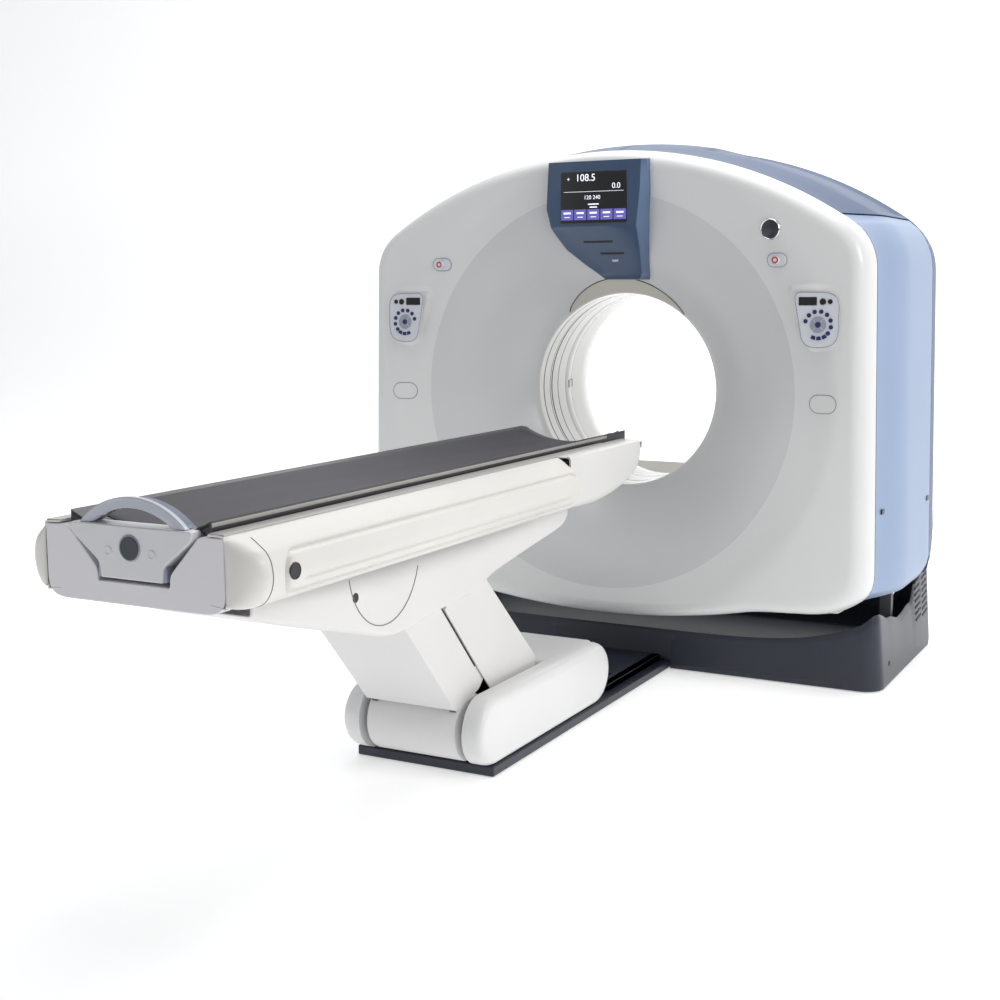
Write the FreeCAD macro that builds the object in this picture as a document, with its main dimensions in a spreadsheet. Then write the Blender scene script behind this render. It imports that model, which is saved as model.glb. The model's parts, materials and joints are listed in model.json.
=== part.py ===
import FreeCAD, Part
import math
import os
import re

import Sketcher

Vector = FreeCAD.Vector

# Frame: +Z up, floor at z = 0, +X to the patient's left, +Y from the table towards the gantry.
# The origin is on the floor, midway across, at the front edge of the gantry base.
# Everything on the table top is measured from the lift's front top pivot, so that it follows the arms.
SIZES = {
    # gantry as a whole
    "iso_height": 997, "tilt_axis_y": 370, "tilt_limit": 30,
    "bore_radius": 350, "skin": 5,
    # cover outline, seen from the front
    "cover_top": 1840, "cover_arc_radius": 1524, "cover_corner_radius": 190,
    "cover_side_x": 942, "cover_side_z": 1237, "cover_side_slope": 0.023,
    "cover_wave_low": 193, "cover_wave_high": 257, "cover_wave_half_width": 600,
    "cover_knee_x": 840, "cover_knee_z": 267, "cover_cheek_z": 340,
    # cover depths
    "front_face_y": -120, "front_seam_y": 0, "cover_gap": 5,
    "rear_seam_y": 640, "rear_face_y": 830, "rear_round": 400, "cover_spread": 45,
    "side_panel_low": 315, "side_panel_round": 350, "side_panel_high": 1600, "lap_reach": 6, "lap_root": 15,
    # dish and bore
    "dish_radius": 700, "dish_rim_y": -108, "throat_y": 122, "liner_end_y": 490,
    "rear_mouth_radius": 520, "liner_wall": 5, "window_width": 60,
    # gantry base
    "base_half_width": 990, "base_depth": 828, "base_floor": 45, "base_draft": 22,
    "base_skirt_wall": 8, "base_skirt_top": 372, "base_front_top": 262, "base_wall_mid": 140,
    "sweep_radius": 932, "sweep_half": 850, "cheek_sweep_radius": 800, "horn_y": 705,
    "corner_sweep_radius": 875, "corner_sweep_half": 959,
    # tilt columns and trunnions
    "column_inner_x": 898, "column_thickness": 40, "column_waist": 32, "column_head_radius": 90,
    "trunnion_radius": 40, "trunnion_bearing_radius": 60, "running_clearance": 0.05,
    "gearbox_radius": 125, "gearbox_inner_x": 838, "motor_length": 230,
    # tilt frame and rotor
    "frame_front_y": 560, "frame_plate": 30, "frame_outer_radius": 755, 
    "frame_arm_x": 812, "frame_arm_height": 150,
    "bearing_inner_radius": 455, "bearing_split_radius": 500, "bearing_outer_radius": 560,
    "bearing_width": 50, "rotor_plate": 25, "rotor_radius": 770,
    "rotor_bore_radius": 400, "post_radius": 14, "post_reach": 730,
    # table base
    "plate_half_width": 228, "plate_foot_y": -1331, "plate_height": 31, "plate_head_y": 36,
    "shell_radius": 100, "shell_foot_y": -1310, "shell_head_y": -620, "shell_axis_z": 131,
    "shell_inner_x": 170, "shell_outer_x": 231, "shell_wall": 5, "rear_cover_front_y": -880,
    # lift arms
    "arm_length": 760, "arm_angle": 48, "arm_spacing": 300,
    "bracket_inner_x": 104, "bracket_outer_x": 116, "pivot_radius": 18, "pivot_boss_radius": 42,
    "front_bar_inner_x": 120, "front_bar_outer_x": 138, "bar_half_depth": 38,
    "front_cover_half_width": 147, "rear_cover_half_width": 155, "arm_cover_wall": 5,
    "front_cover_face": -20, "front_cover_edge": 186, "front_cover_start": 108,
    "rear_beam_half_width": 100, "rear_cover_face_low": 150, "rear_cover_face_high": 104,
    "rear_cover_edge": -88, "rear_cover_end": 580, "roll_outer_radius": 97,
    # table body, heights above the front top pivot and lengths from it
    "table_foot": -686, "side_cover_head": 868, "nose_tip": 1440,
    "side_low": 20, "side_high": 176, "side_inner_x": 245, "side_outer_x": 320, "side_lip_x": 203,
    "nose_half_width": 285, "cover_wall": 4, "bulkhead_x": 238,
    "underbody_half_width": 163, "underbody_wall": 4, "underbody_top": 44, "underbody_tab": 57, "foot_cover_low": 5, "nose_mouth": 130,
    "frame_floor": 48, "frame_floor_x": 120, "frame_wall_x": 178, "frame_wall": 8, "frame_wall_top": 143,
    "frame_flange_x": 238, "frame_foot": -640, "frame_head": 1235,
    "rail_inner_x": 180, "rail_width": 16, "rail_height": 12, "runner_gap": 0.3,
    # cradle
    "cradle_half_width": 193, "cradle_top": 199, "cradle_dip": 46, "cradle_thick": 14,
    "cradle_foot": -660, "cradle_head": 1490, "cradle_travel": 1700, "mat_thick": 6, "mat_gap": 0.3,
    "block_top_half_width": 168, "block_low_half_width": 88, "block_low": 62, "block_high": 180, "block_shoulder": 12,
    "block_depth": 55,
    "notch_gap": 10, "handle_radius": 203, "handle_rise": 61, "handle_section": 18,
    "drive_wheel_radius": 30,
    # display, panels and buttons
    "bezel_depth": 26, "bezel_half_width": 190, "bezel_top": 1800, "bezel_waist": 640, "bezel_knee": 500,
    "bezel_low": 396, "bezel_low_left": -32, "bezel_low_right": 128, "bezel_wall": 9,
    "screen_left": -132, "screen_right": 116, "screen_low": 590, "screen_high": 764, "panel_x": 774, "panel_z": 1262, "panel_half_width": 78, "panel_half_height": 92,
    "stop_x": 635, "stop_z": 1453, "stop_radius": 13, "stop_stem": 5, "stop_travel": 4, "stop_length": 12,
    "pedal_length": 110, "pedal_width": 74, "pedal_thick": 14,
}

doc = FreeCAD.newDocument("ct_scanner")
sheet = doc.addObject("Spreadsheet::Sheet", "Sizes")
for row, (alias, number) in enumerate(SIZES.items(), start=1):
    sheet.set(f"A{row}", alias)
    sheet.set(f"B{row}", str(number))
    sheet.setAlias(f"B{row}", alias)
doc.recompute()

NODES = []
SIDES = (("left", -1), ("right", 1))

# Places that many pieces share, as expressions.
PIVOT_Y = "shell_foot_y"
PIVOT_Z = "shell_axis_z"
TOP_Y = "(shell_foot_y - arm_length * cos(arm_angle))"
TOP_Z = "(shell_axis_z + arm_length * sin(arm_angle))"


def size(alias):
    """The number that a cell of the sheet holds."""
    return float(sheet.get(alias))


def bound(text):
    """An expression with each alias replaced by its cell."""
    return re.sub(r"[a-z][a-z_0-9]*", lambda m: f"Sizes.{m[0]}" if m[0] in SIZES else m[0], str(text))


def top_point():
    """The front top pivot's Y and Z."""
    angle = math.radians(size("arm_angle"))
    y = size("shell_foot_y") - size("arm_length") * math.cos(angle)
    return y, size("shell_axis_z") + size("arm_length") * math.sin(angle)


def node(label, item):
    """Name a finished sub-part; the label is also its file's name."""
    item.Label = label
    NODES.append(item)
    return item


def place(item, x="0", y="0", z="0", turn=None):
    """Bind an object's place to the sheet, with an optional turn about X."""
    if turn is not None:
        item.Placement = FreeCAD.Placement(Vector(0, 0, 0), FreeCAD.Rotation(Vector(1, 0, 0), 1))
        item.setExpression("Placement.Rotation.Angle", bound(turn))
    for axis, text in zip("xyz", (x, y, z)):
        item.setExpression(f"Placement.Base.{axis}", bound(text))
    return item


def box(x, y, z):
    """A Part::Box between pairs of expressions, one pair for each axis."""
    item = doc.addObject("Part::Box", "box")
    for name, (low, high) in zip(("Length", "Width", "Height"), (x, y, z)):
        item.setExpression(name, bound(f"({high}) - ({low})"))
    return place(item, x[0], y[0], z[0])


AXES = {"x": Vector(1, 0, 0), "y": Vector(0, 1, 0), "z": Vector(0, 0, 1)}


def cylinder(axis, radius, low, high, x="0", y="0", z="0"):
    """A Part::Cylinder along an axis, between two expressions, about a centre line."""
    item = doc.addObject("Part::Cylinder", "cylinder")
    item.Placement = FreeCAD.Placement(Vector(0, 0, 0), FreeCAD.Rotation(AXES["z"], AXES[axis]))
    item.setExpression("Radius", bound(radius))
    item.setExpression("Height", bound(f"({high}) - ({low})"))
    start = {"x": x, "y": y, "z": z}
    start[axis] = low
    for name, text in start.items():
        item.setExpression(f"Placement.Base.{name}", bound(text))
    return item


def cut(base, *tools):
    """The base with each tool taken away."""
    for tool in tools:
        item = doc.addObject("Part::Cut", "cut")
        item.Base, item.Tool = base, tool
        base = item
    return base


def fuse(*items):
    """Several solids joined into one."""
    item = doc.addObject("Part::MultiFuse", "fuse")
    item.Shapes = list(items)
    item.Refine = True
    return item


def common(first, second):
    """What two solids share."""
    item = doc.addObject("Part::Common", "common")
    item.Base, item.Tool = first, second
    return item


def group(*items):
    """Loose solids kept in one node, such as a set of bolts."""
    item = doc.addObject("Part::Compound", "set")
    item.Links = list(items)
    return item


def number(text):
    """What an expression comes to, for code that needs the number itself."""
    result = sheet.evalExpression(bound(text))
    return float(getattr(result, "Value", result))


def pad(label, plane, points, low, high, holes=()):
    """A PartDesign body: a polygon padded between two expressions along its plane's normal.

    Each hole is (first, second, radius), pocketed right through. The XZ plane's normal is -Y, so
    there the two ends are swapped and low and high stay distances along +Y.
    """
    if plane == "XZ_Plane":
        low, high = f"-({high})", f"-({low})"
    body = doc.addObject("PartDesign::Body", label + "_body")
    support = [item for item in body.Origin.OriginFeatures if item.Role == plane][0]
    sketches = []
    for part in ("outline", "holes")[:2 if holes else 1]:
        sketch = body.newObject("Sketcher::SketchObject", f"{label}_{part}")
        sketch.AttachmentSupport = (support, [""])
        sketch.MapMode = "FlatFace"
        sketches.append(sketch)
    outline = sketches[0]
    corners = [Vector(number(first), number(second), 0) for first, second in points]
    for index, corner in enumerate(corners):
        outline.addGeometry(Part.LineSegment(corner, corners[(index + 1) % len(corners)]), False)
    for index in range(len(corners)):
        following = (index + 1) % len(corners)
        outline.addConstraint(Sketcher.Constraint("Coincident", index, 2, following, 1))
    for index, (first, second) in enumerate(points):
        hold_point(outline, index, 1, first, second)
    outline.setExpression("AttachmentOffset.Base.z", bound(low))
    feature = body.newObject("PartDesign::Pad", f"{label}_pad")
    feature.Profile = outline
    feature.setExpression("Length", bound(f"({high}) - ({low})"))
    if holes:
        drill(body, feature, sketches[1], holes, low, high)
    return body


def hold_point(sketch, index, end, first, second):
    """Tie a point of a sketch to the origin by two distances bound to the sheet."""
    for kind, text in (("DistanceX", first), ("DistanceY", second)):
        made = sketch.addConstraint(Sketcher.Constraint(kind, -1, 1, index, end, number(text)))
        name = f"{kind}{index}"
        sketch.renameConstraint(made, name)
        sketch.setExpression(f"Constraints.{name}", bound(text))


def drill(body, feature, sketch, holes, low, high):
    """Pocket circles through a padded body, and check that they cut."""
    for index, (first, second, radius) in enumerate(holes):
        centre = Vector(number(first), number(second), 0)
        sketch.addGeometry(Part.Circle(centre, Vector(0, 0, 1), number(radius)), False)
        hold_point(sketch, index, 3, first, second)
        made = sketch.addConstraint(Sketcher.Constraint("Radius", index, number(radius)))
        sketch.renameConstraint(made, f"Radius{index}")
        sketch.setExpression(f"Constraints.Radius{index}", bound(radius))
    sketch.setExpression("AttachmentOffset.Base.z", bound(f"({low}) - 1"))
    doc.recompute()
    before = feature.Shape.Volume
    pocket = body.newObject("PartDesign::Pocket", sketch.Name + "_pocket")
    pocket.Profile = sketch
    pocket.Reversed = True
    pocket.setExpression("Length", bound(f"({high}) - ({low}) + 2"))
    doc.recompute()
    if pocket.Shape.Volume >= before:
        raise RuntimeError(sketch.Name + " cuts nothing")


def mirrored(low, high, side):
    """A pair of X limits, or its mirror image."""
    return (low, high) if side > 0 else (f"-({high})", f"-({low})")




# ---- cover shapes -------------------------------------------------------------------------------

def cover_wire(y, spread=0.0, inset=0.0):
    """The gantry's outline at a depth: top arc, round corners, leaning sides and a waved bottom."""
    grow = spread - inset
    arc = size("cover_arc_radius") + grow
    corner = size("cover_corner_radius") + grow
    top = size("cover_top") + grow
    slope = math.atan(size("cover_side_slope"))
    normal = (math.cos(slope), math.sin(slope))
    along = (-normal[1], normal[0])
    middle_z = top - arc
    reach = size("cover_side_x") * normal[0] + size("cover_side_z") * normal[1] + grow
    across = reach - corner - middle_z * normal[1]
    up = math.sqrt((arc - corner) ** 2 - across ** 2)
    centre = (across * normal[0] + up * along[0], middle_z + across * normal[1] + up * along[1])
    turn = math.atan2(centre[1] - middle_z, centre[0])
    shoulder = (arc * math.cos(turn), middle_z + arc * math.sin(turn))
    hip = (centre[0] + corner * normal[0], centre[1] + corner * normal[1])
    bend = (turn + slope) / 2
    elbow = (centre[0] + corner * math.cos(bend), centre[1] + corner * math.sin(bend))
    cheek_z = size("cover_cheek_z") - grow
    cheek = (hip[0] + (hip[1] - cheek_z) * math.tan(slope), cheek_z)
    knee = (size("cover_knee_x") + grow / 2, size("cover_knee_z") - grow)
    wave = (size("cover_wave_half_width"), size("cover_wave_high") - grow)
    low = size("cover_wave_low") - grow

    def at(point, side=1):
        return Vector(side * point[0], y, point[1])

    edges = [
        Part.Arc(at(shoulder, -1), Vector(0, y, top), at(shoulder)).toShape(),
        Part.Arc(at(shoulder), at(elbow), at(hip)).toShape(),
        Part.LineSegment(at(hip), at(cheek)).toShape(),
        Part.LineSegment(at(cheek), at(knee)).toShape(),
        Part.LineSegment(at(knee), at(wave)).toShape(),
        Part.Arc(at(wave), Vector(0, y, low), at(wave, -1)).toShape(),
        Part.LineSegment(at(wave, -1), at(knee, -1)).toShape(),
        Part.LineSegment(at(knee, -1), at(cheek, -1)).toShape(),
        Part.LineSegment(at(cheek, -1), at(hip, -1)).toShape(),
        Part.Arc(at(hip, -1), at(elbow, -1), at(shoulder, -1)).toShape(),
    ]
    return Part.Wire(edges)


def cover_block(start, end, inset=0.0, spreads=(0.0, 0.0)):
    """A solid of the gantry's outline between two depths, growing by a spread at each."""
    wires = [cover_wire(y, spread, inset) for y, spread in zip((start, end), spreads)]
    return Part.makeLoft(wires, True, True)


def turned(profile):
    """A solid of revolution about the bore's axis from (depth, radius) points."""
    points = [Vector(radius, depth, 0) for depth, radius in profile]
    face = Part.Face(Part.makePolygon(points + points[:1]))
    solid = face.revolve(Vector(0, 0, 0), Vector(0, 1, 0), 360)
    solid.translate(Vector(0, 0, size("iso_height")))
    return solid


def horn_profile(start, end, steps=8):
    """Depth and radius along a flare from the wide rim to the narrow throat."""
    points = []
    for step in range(steps + 1):
        share = step / steps
        eased = share ** 1.6 * (1 - share) + (1 - (1 - share) ** 1.6) * share
        points.append((start[0] + (end[0] - start[0]) * share, start[1] + (end[1] - start[1]) * eased))
    return points


def funnel(start, end, wall):
    """A thin flare between two rims."""
    outer = horn_profile(start, end)
    inner = [(depth, radius - wall) for depth, radius in reversed(outer)]
    return turned(outer + inner)


def bored(start, end, radius):
    """A disc about the bore's axis, used to open plates."""
    return Part.makeCylinder(radius, end - start, Vector(0, start, size("iso_height")), Vector(0, 1, 0))


def slab(x, y, z):
    """A plain block between pairs of numbers."""
    return Part.makeBox(x[1] - x[0], y[1] - y[0], z[1] - z[0], Vector(x[0], y[0], z[0]))


def prism(points, low, high):
    """A block of a YZ outline between two values of X."""
    corners = [Vector(low, y, z) for y, z in points]
    return Part.Face(Part.makePolygon(corners + corners[:1])).extrude(Vector(high - low, 0, 0))


def shape_node(label, shape):
    """A sub-part whose shape is set by code, because its surface is free-form."""
    item = doc.addObject("Part::Feature", label)
    item.Shape = shape
    item.Placement = FreeCAD.Placement()
    return node(label, item)


def column_sweep():
    """The sector that both tilt columns sweep in the covers' frame."""
    half = math.radians(size("tilt_limit"))
    axis_y, axis_z = size("tilt_axis_y"), size("iso_height")
    spare = (size("column_waist") / 2 + 10) / math.cos(half)
    run = axis_z * math.tan(half) + spare
    rise = spare / math.tan(half)
    points = [(axis_y, axis_z + rise), (axis_y - run, 0), (axis_y + run, 0)]
    inner, outer = size("column_inner_x") - 10, size("column_inner_x") + size("column_thickness") + 12
    return [prism(points, side * inner, side * outer) for _, side in SIDES]


def rear_limit(low, radius):
    """The region above the covers' underside, whose rear edge is a large round."""
    start, end = -200, size("rear_face_y")
    centre_y, centre_z = end - radius, low + radius
    half = math.sqrt(0.5) * radius
    edges = [
        Part.LineSegment(Vector(-1200, start, 2200), Vector(-1200, start, low)).toShape(),
        Part.LineSegment(Vector(-1200, start, low), Vector(-1200, centre_y, low)).toShape(),
        Part.Arc(Vector(-1200, centre_y, low), Vector(-1200, centre_y + half, centre_z - half),
                 Vector(-1200, end, centre_z)).toShape(),
        Part.LineSegment(Vector(-1200, end, centre_z), Vector(-1200, end, 2200)).toShape(),
        Part.LineSegment(Vector(-1200, end, 2200), Vector(-1200, start, 2200)).toShape(),
    ]
    return Part.Face(Part.Wire(edges)).extrude(Vector(2400, 0, 0))


def front_cover():
    """Face with its dish and flare, and a return round the edge."""
    skin, face, seam = size("skin"), size("front_face_y"), size("front_seam_y")
    rim = size("dish_rim_y")
    hull = cover_block(face, seam, spreads=(-30.0, 0.0))
    hollow = cover_block(face + skin, seam + 1, skin, spreads=(-30.0, 0.0))
    shell = hull.cut(hollow).cut(bored(face - 1, face + skin + 1, size("dish_radius") - 2))
    bell = funnel((rim - 12, size("dish_radius")), (size("throat_y"), size("bore_radius") + skin), skin)
    shell = shell.fuse(bell)
    for tool in column_sweep():
        shell = shell.cut(tool)
    return shell


def rear_cover():
    """Back plate with its flare, closed round the edge and underneath by the large round."""
    skin, seam, back = size("skin"), size("rear_seam_y"), size("rear_face_y")
    spread = size("cover_spread")
    low, radius = size("cover_wave_low") - 3, size("rear_round")
    hull = cover_block(seam, back, spreads=(spread, spread - 25)).common(rear_limit(low, radius))
    hollow = cover_block(seam - 1, back - skin, skin, spreads=(spread, spread - 25))
    hollow = hollow.common(rear_limit(low + skin, radius).translated(Vector(0, -skin, 0)))
    shell = hull.cut(hollow).cut(bored(back - skin - 1, back + 1, size("rear_mouth_radius") - 2))
    limit = rear_limit(size("side_panel_low"), size("side_panel_round"))
    reach = size("column_inner_x") - 40
    for _, side in SIDES:
        cheek = slab(sorted((side * reach, side * 1200)), (0, back + 10), (0, size("iso_height")))
        shell = shell.cut(cheek.cut(limit))
    start = (back, size("rear_mouth_radius"))
    shell = shell.fuse(funnel(start, (size("liner_end_y"), size("bore_radius") + skin), skin))
    for tool in column_sweep():
        shell = shell.cut(tool)
    return shell


def wrap_shell():
    """The band between the front and rear covers, opened for the columns."""
    skin, start = size("skin"), size("front_seam_y") + size("cover_gap")
    end = size("rear_seam_y") - size("cover_gap")
    grown = size("cover_spread")
    spreads = (grown * start / size("rear_seam_y"), grown * end / size("rear_seam_y"))
    ring = cover_block(start, end, 0.0, spreads).cut(cover_block(start - 1, end + 1, skin, spreads))
    return ring


def lap_tabs(region):
    """Tongues inside a panel's front edge that slip behind the front cover's return."""
    skin, reach, root = size("skin"), size("lap_reach"), size("lap_root")
    seam = size("front_seam_y")
    taper = -30.0 * reach / (seam - size("front_face_y"))
    gap, thick = 0.3, 3.3
    tongue = cover_block(seam - reach, seam + 1, skin + gap, (taper, 0.0))
    tongue = tongue.cut(cover_block(seam - reach - 1, seam + 2, skin + thick, (taper, 0.0)))
    base = cover_block(seam + gap, seam + root, skin - 1)
    base = base.cut(cover_block(seam - 1, seam + root + 1, skin + thick))
    return tongue.fuse(base).common(region)


def side_panel(side):
    """A leaning side skin with a long round at its rear foot."""
    high, low = size("side_panel_high"), size("side_panel_low")
    band = slab(sorted((side * 700, side * 1200)), (-50, 900), (low, high))
    panel = wrap_shell().common(band).common(rear_limit(low, size("side_panel_round")))
    for tool in column_sweep():
        panel = panel.cut(tool)
    for height in (size("cover_side_z") - 500, size("cover_side_z") + 60):
        region = slab(sorted((side * 800, side * 1200)), (-50, 50), (height, height + 60))
        panel = panel.fuse(lap_tabs(region))
    return panel


def top_panel(side):
    """Half of the roof skin, down to the side panel's top edge."""
    start = size("cover_gap") / 2
    band = slab(sorted((side * start, side * 1200)), (-50, 900), (size("side_panel_high") + 4, 2000))
    region = slab(sorted((side * 300, side * 400)), (-50, 50), (size("side_panel_high"), 2000))
    return wrap_shell().common(band).fuse(lap_tabs(region))


def belly_pan():
    """The underside between the front and rear covers, inboard of the columns."""
    skin, reach = size("skin"), size("column_inner_x") - 40
    start, end = size("front_seam_y") + 0.3, size("rear_seam_y") - 0.3
    low, radius = size("cover_wave_low") - 3, size("rear_round")
    hull = cover_block(start, end).common(rear_limit(low, radius))
    hollow = cover_block(start - 1, end + 1, skin)
    hollow = hollow.common(rear_limit(low + skin, radius).translated(Vector(0, -skin, 0)))
    return hull.cut(hollow).common(slab((-reach, reach), (-50, 900), (0, size("cover_cheek_z") + 60)))


shape_node("front_cover", front_cover())
shape_node("rear_cover", rear_cover())
for name, side in SIDES:
    shape_node(f"side_panel_{name}", side_panel(side))
    shape_node(f"top_panel_{name}", top_panel(side))
shape_node("belly_pan", belly_pan())



# ---- bore ---------------------------------------------------------------------------------------

def bore_sleeve(label, start, end):
    """A plain tube round the patient's space."""
    shell = cut(cylinder("y", "bore_radius + liner_wall", start, end, z="iso_height"),
                cylinder("y", "bore_radius", f"{start} - 1", f"{end} + 1", z="iso_height"))
    return node(label, shell)


WINDOW_START = "(tilt_axis_y - window_width / 2)"
WINDOW_END = "(tilt_axis_y + window_width / 2)"
bore_sleeve("bore_liner_front", "throat_y", WINDOW_START)
bore_sleeve("scan_window", WINDOW_START, WINDOW_END)
bore_sleeve("bore_liner_rear", WINDOW_END, "liner_end_y")


# ---- display, panels and buttons on the front cover ---------------------------------------------

def dish_mass():
    """Everything behind the front cover's face and round its flare."""
    skin, face = size("skin"), size("front_face_y")
    flare = horn_profile((face, size("dish_radius")), (size("throat_y"), size("bore_radius") + skin))
    back = size("throat_y") + 10
    surface = [(depth, radius - skin - 0.3) for depth, radius in flare]
    return turned(surface + [(back, size("bore_radius")), (back, size("cover_top")), (face, size("cover_top"))])


def bezel_block(front, back, share):
    """The display housing's outline, drawn in towards its middle, between two depths."""
    half, iso = size("bezel_half_width"), size("iso_height")
    outline = [
        (-half, size("bezel_top")), (-half - 6, iso + size("bezel_waist")),
        (-half + 40, iso + size("bezel_knee")), (size("bezel_low_left"), iso + size("bezel_low")),
        (size("bezel_low_right"), iso + size("bezel_low")), (half - 14, iso + size("bezel_waist")),
        (half - 4, size("bezel_top"))]
    middle = iso + size("bezel_waist")
    corners = [Vector(x * share, front, middle + (z - middle) * share) for x, z in outline]
    return Part.Face(Part.makePolygon(corners + corners[:1])).extrude(Vector(0, back - front, 0))


def display_bezel():
    """A hollow housing whose back follows the dish and whose face holds the screen."""
    front = size("front_face_y") - size("bezel_depth")
    back, wall = size("throat_y"), size("bezel_wall")
    iso = size("iso_height")
    housing = bezel_block(front, back, 1).cut(bezel_block(front + wall, back + 1, 0.94)).cut(dish_mass())
    pocket = slab((size("screen_left") - 2, size("screen_right") + 2), (front - 1, front + 6),
                  (iso + size("screen_low") - 2, iso + size("screen_high") + 2))
    return housing.cut(pocket)


shape_node("display_bezel", display_bezel())
node("display_screen", box(("screen_left", "screen_right"),
                           ("front_face_y - bezel_depth + 1", "front_face_y - bezel_depth + 6"),
                           ("iso_height + screen_low", "iso_height + screen_high")))

stop_plates = []
for name, side in SIDES:
    node(f"control_panel_{name}", pad(f"control_panel_{name}", "XZ_Plane", [
        (f"{side} * (panel_x - panel_half_width)", "panel_z + panel_half_height"),
        (f"{side} * (panel_x + panel_half_width)", "panel_z + panel_half_height"),
        (f"{side} * (panel_x + panel_half_width)", "panel_z - panel_half_height / 2"),
        (f"{side} * (panel_x + panel_half_width / 2)", "panel_z - panel_half_height"),
        (f"{side} * (panel_x - panel_half_width / 2)", "panel_z - panel_half_height"),
        (f"{side} * (panel_x - panel_half_width)", "panel_z - panel_half_height / 2")],
        "front_face_y - 7", "front_face_y"))
    centre = f"{side} * stop_x"
    stop_plates.append(cut(
        box((f"{centre} - 34", f"{centre} + 34"), ("front_face_y - 5", "front_face_y"),
            ("stop_z - 21", "stop_z + 21")),
        cylinder("y", "stop_stem + running_clearance", "front_face_y - 6", "front_face_y + 1",
                 x=centre, z="stop_z")))
    # The knob stands a whole travel clear of its plate, on a stem that slides in the plate's hole.
    node(f"stop_button_{name}", fuse(
        cylinder("y", "stop_radius", "front_face_y - 6 - stop_travel - stop_length",
                 "front_face_y - 6 - stop_travel", x=centre, z="stop_z"),
        cylinder("y", "stop_stem", "front_face_y - 7 - stop_travel",
                 "front_face_y - 0.5 - stop_travel", x=centre, z="stop_z")))
node("stop_plates", group(*stop_plates))


# ---- fixed base of the gantry -------------------------------------------------------------------

def base_outline(height):
    """The base's footprint, drawn in by its draft, at a height."""
    draft = size("base_draft") * height / size("base_skirt_top")
    half, deep = size("base_half_width") - draft, size("base_depth") - draft
    corners = [Vector(-half, draft, height), Vector(half, draft, height),
               Vector(half, deep, height), Vector(-half, deep, height)]
    return Part.makePolygon(corners + corners[:1])


def gantry_base_skirt():
    """The drafted plinth wall, dipped between its front edge and its two rear horns."""
    wall, top = size("base_skirt_wall"), size("base_skirt_top")
    block = Part.makeLoft([base_outline(0), base_outline(top)], True, True)
    half, deep, draft = size("base_half_width"), size("base_depth"), size("base_draft")
    inner = slab((wall - half + draft, half - wall - draft), (wall + draft, deep - wall - draft), (-1, top + 1))
    axis_y, axis_z = size("tilt_axis_y"), size("iso_height")
    sweep = size("cheek_sweep_radius")
    half_turn = math.radians(24)
    bottom = (axis_y, axis_z - sweep)
    fore = (axis_y - sweep * math.sin(half_turn), axis_z - sweep * math.cos(half_turn))
    aft = (axis_y + sweep * math.sin(half_turn / 2), axis_z - sweep * math.cos(half_turn / 2))
    points = [(-50, top + 50), (-50, size("base_front_top")), fore, bottom, aft,
              (size("horn_y") - 90, 300), (size("horn_y"), top - 8), (size("horn_y") + 20, top + 50)]
    dip = prism(points, -half - 10, half + 10)
    shell = block.cut(inner).cut(dip)
    for radius, reach in (("sweep_radius", "sweep_half"), ("corner_sweep_radius", "corner_sweep_half")):
        trough = Part.makeCylinder(size(radius), 2 * size(reach), Vector(-size(reach), axis_y, axis_z),
                                   Vector(1, 0, 0))
        shell = shell.cut(trough)
    rear_top = slab((-half, half), (deep - 60, deep + 10), (size("base_front_top"), top + 60))
    middle = slab((80 - half, half - 80), (deep - 60, deep + 10), (size("base_front_top"), top + 60))
    shell = shell.cut(middle.common(rear_top))
    notch = size("plate_half_width") + 0.5
    return shell.cut(slab((-notch, notch), (-10, size("plate_head_y") + 1), (-1, size("plate_height") + 0.5)))


shape_node("gantry_base_skirt", gantry_base_skirt())

BASE_INSET = "base_half_width - base_skirt_wall - base_draft - 6"
floor_plate = box((f"-({BASE_INSET})", BASE_INSET),
                  ("base_skirt_wall + base_draft + 6", "base_depth - base_skirt_wall - base_draft - 6"),
                  ("0", "base_floor"))
ANCHOR_X = "(base_half_width - 190)"
ANCHOR_FRONT, ANCHOR_REAR = "120", "(base_depth - 120)"
anchor_holes = [
    cylinder("z", "9", "-1", "base_floor + 1", x=f"{sign} * {ANCHOR_X}", y=y)
    for sign in (-1, 1) for y in (ANCHOR_FRONT, ANCHOR_REAR)]
node("gantry_base_frame", cut(floor_plate, *anchor_holes))

trunnion_bearings = []
for name, side in SIDES:
    column = pad(f"column_{name}", "YZ_Plane", [
        ("tilt_axis_y - 150", "base_floor"), ("tilt_axis_y + 150", "base_floor"),
        ("tilt_axis_y + column_waist / 2", "base_floor + 24"),
        ("tilt_axis_y + column_waist / 2", "iso_height - 560"),
        ("tilt_axis_y + column_head_radius", "iso_height - column_head_radius - 60"),
        ("tilt_axis_y + column_head_radius", "iso_height + column_head_radius"),
        ("tilt_axis_y - column_head_radius", "iso_height + column_head_radius"),
        ("tilt_axis_y - column_head_radius", "iso_height - column_head_radius - 60"),
        ("tilt_axis_y - column_waist / 2", "iso_height - 560"),
        ("tilt_axis_y - column_waist / 2", "base_floor + 24")],
        *mirrored("column_inner_x", "column_inner_x + column_thickness", side),
        [("tilt_axis_y", "iso_height", "trunnion_bearing_radius + running_clearance")])
    node(f"tilt_column_{name}", column)
    low, high = mirrored("column_inner_x", "column_inner_x + column_thickness", side)
    trunnion_bearings.append(cut(
        cylinder("x", "trunnion_bearing_radius", low, high, y="tilt_axis_y", z="iso_height"),
        cylinder("x", "trunnion_radius + running_clearance", f"{low} - 1", f"{high} + 1",
                 y="tilt_axis_y", z="iso_height")))
node("trunnion_bearings", group(*trunnion_bearings))

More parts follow.
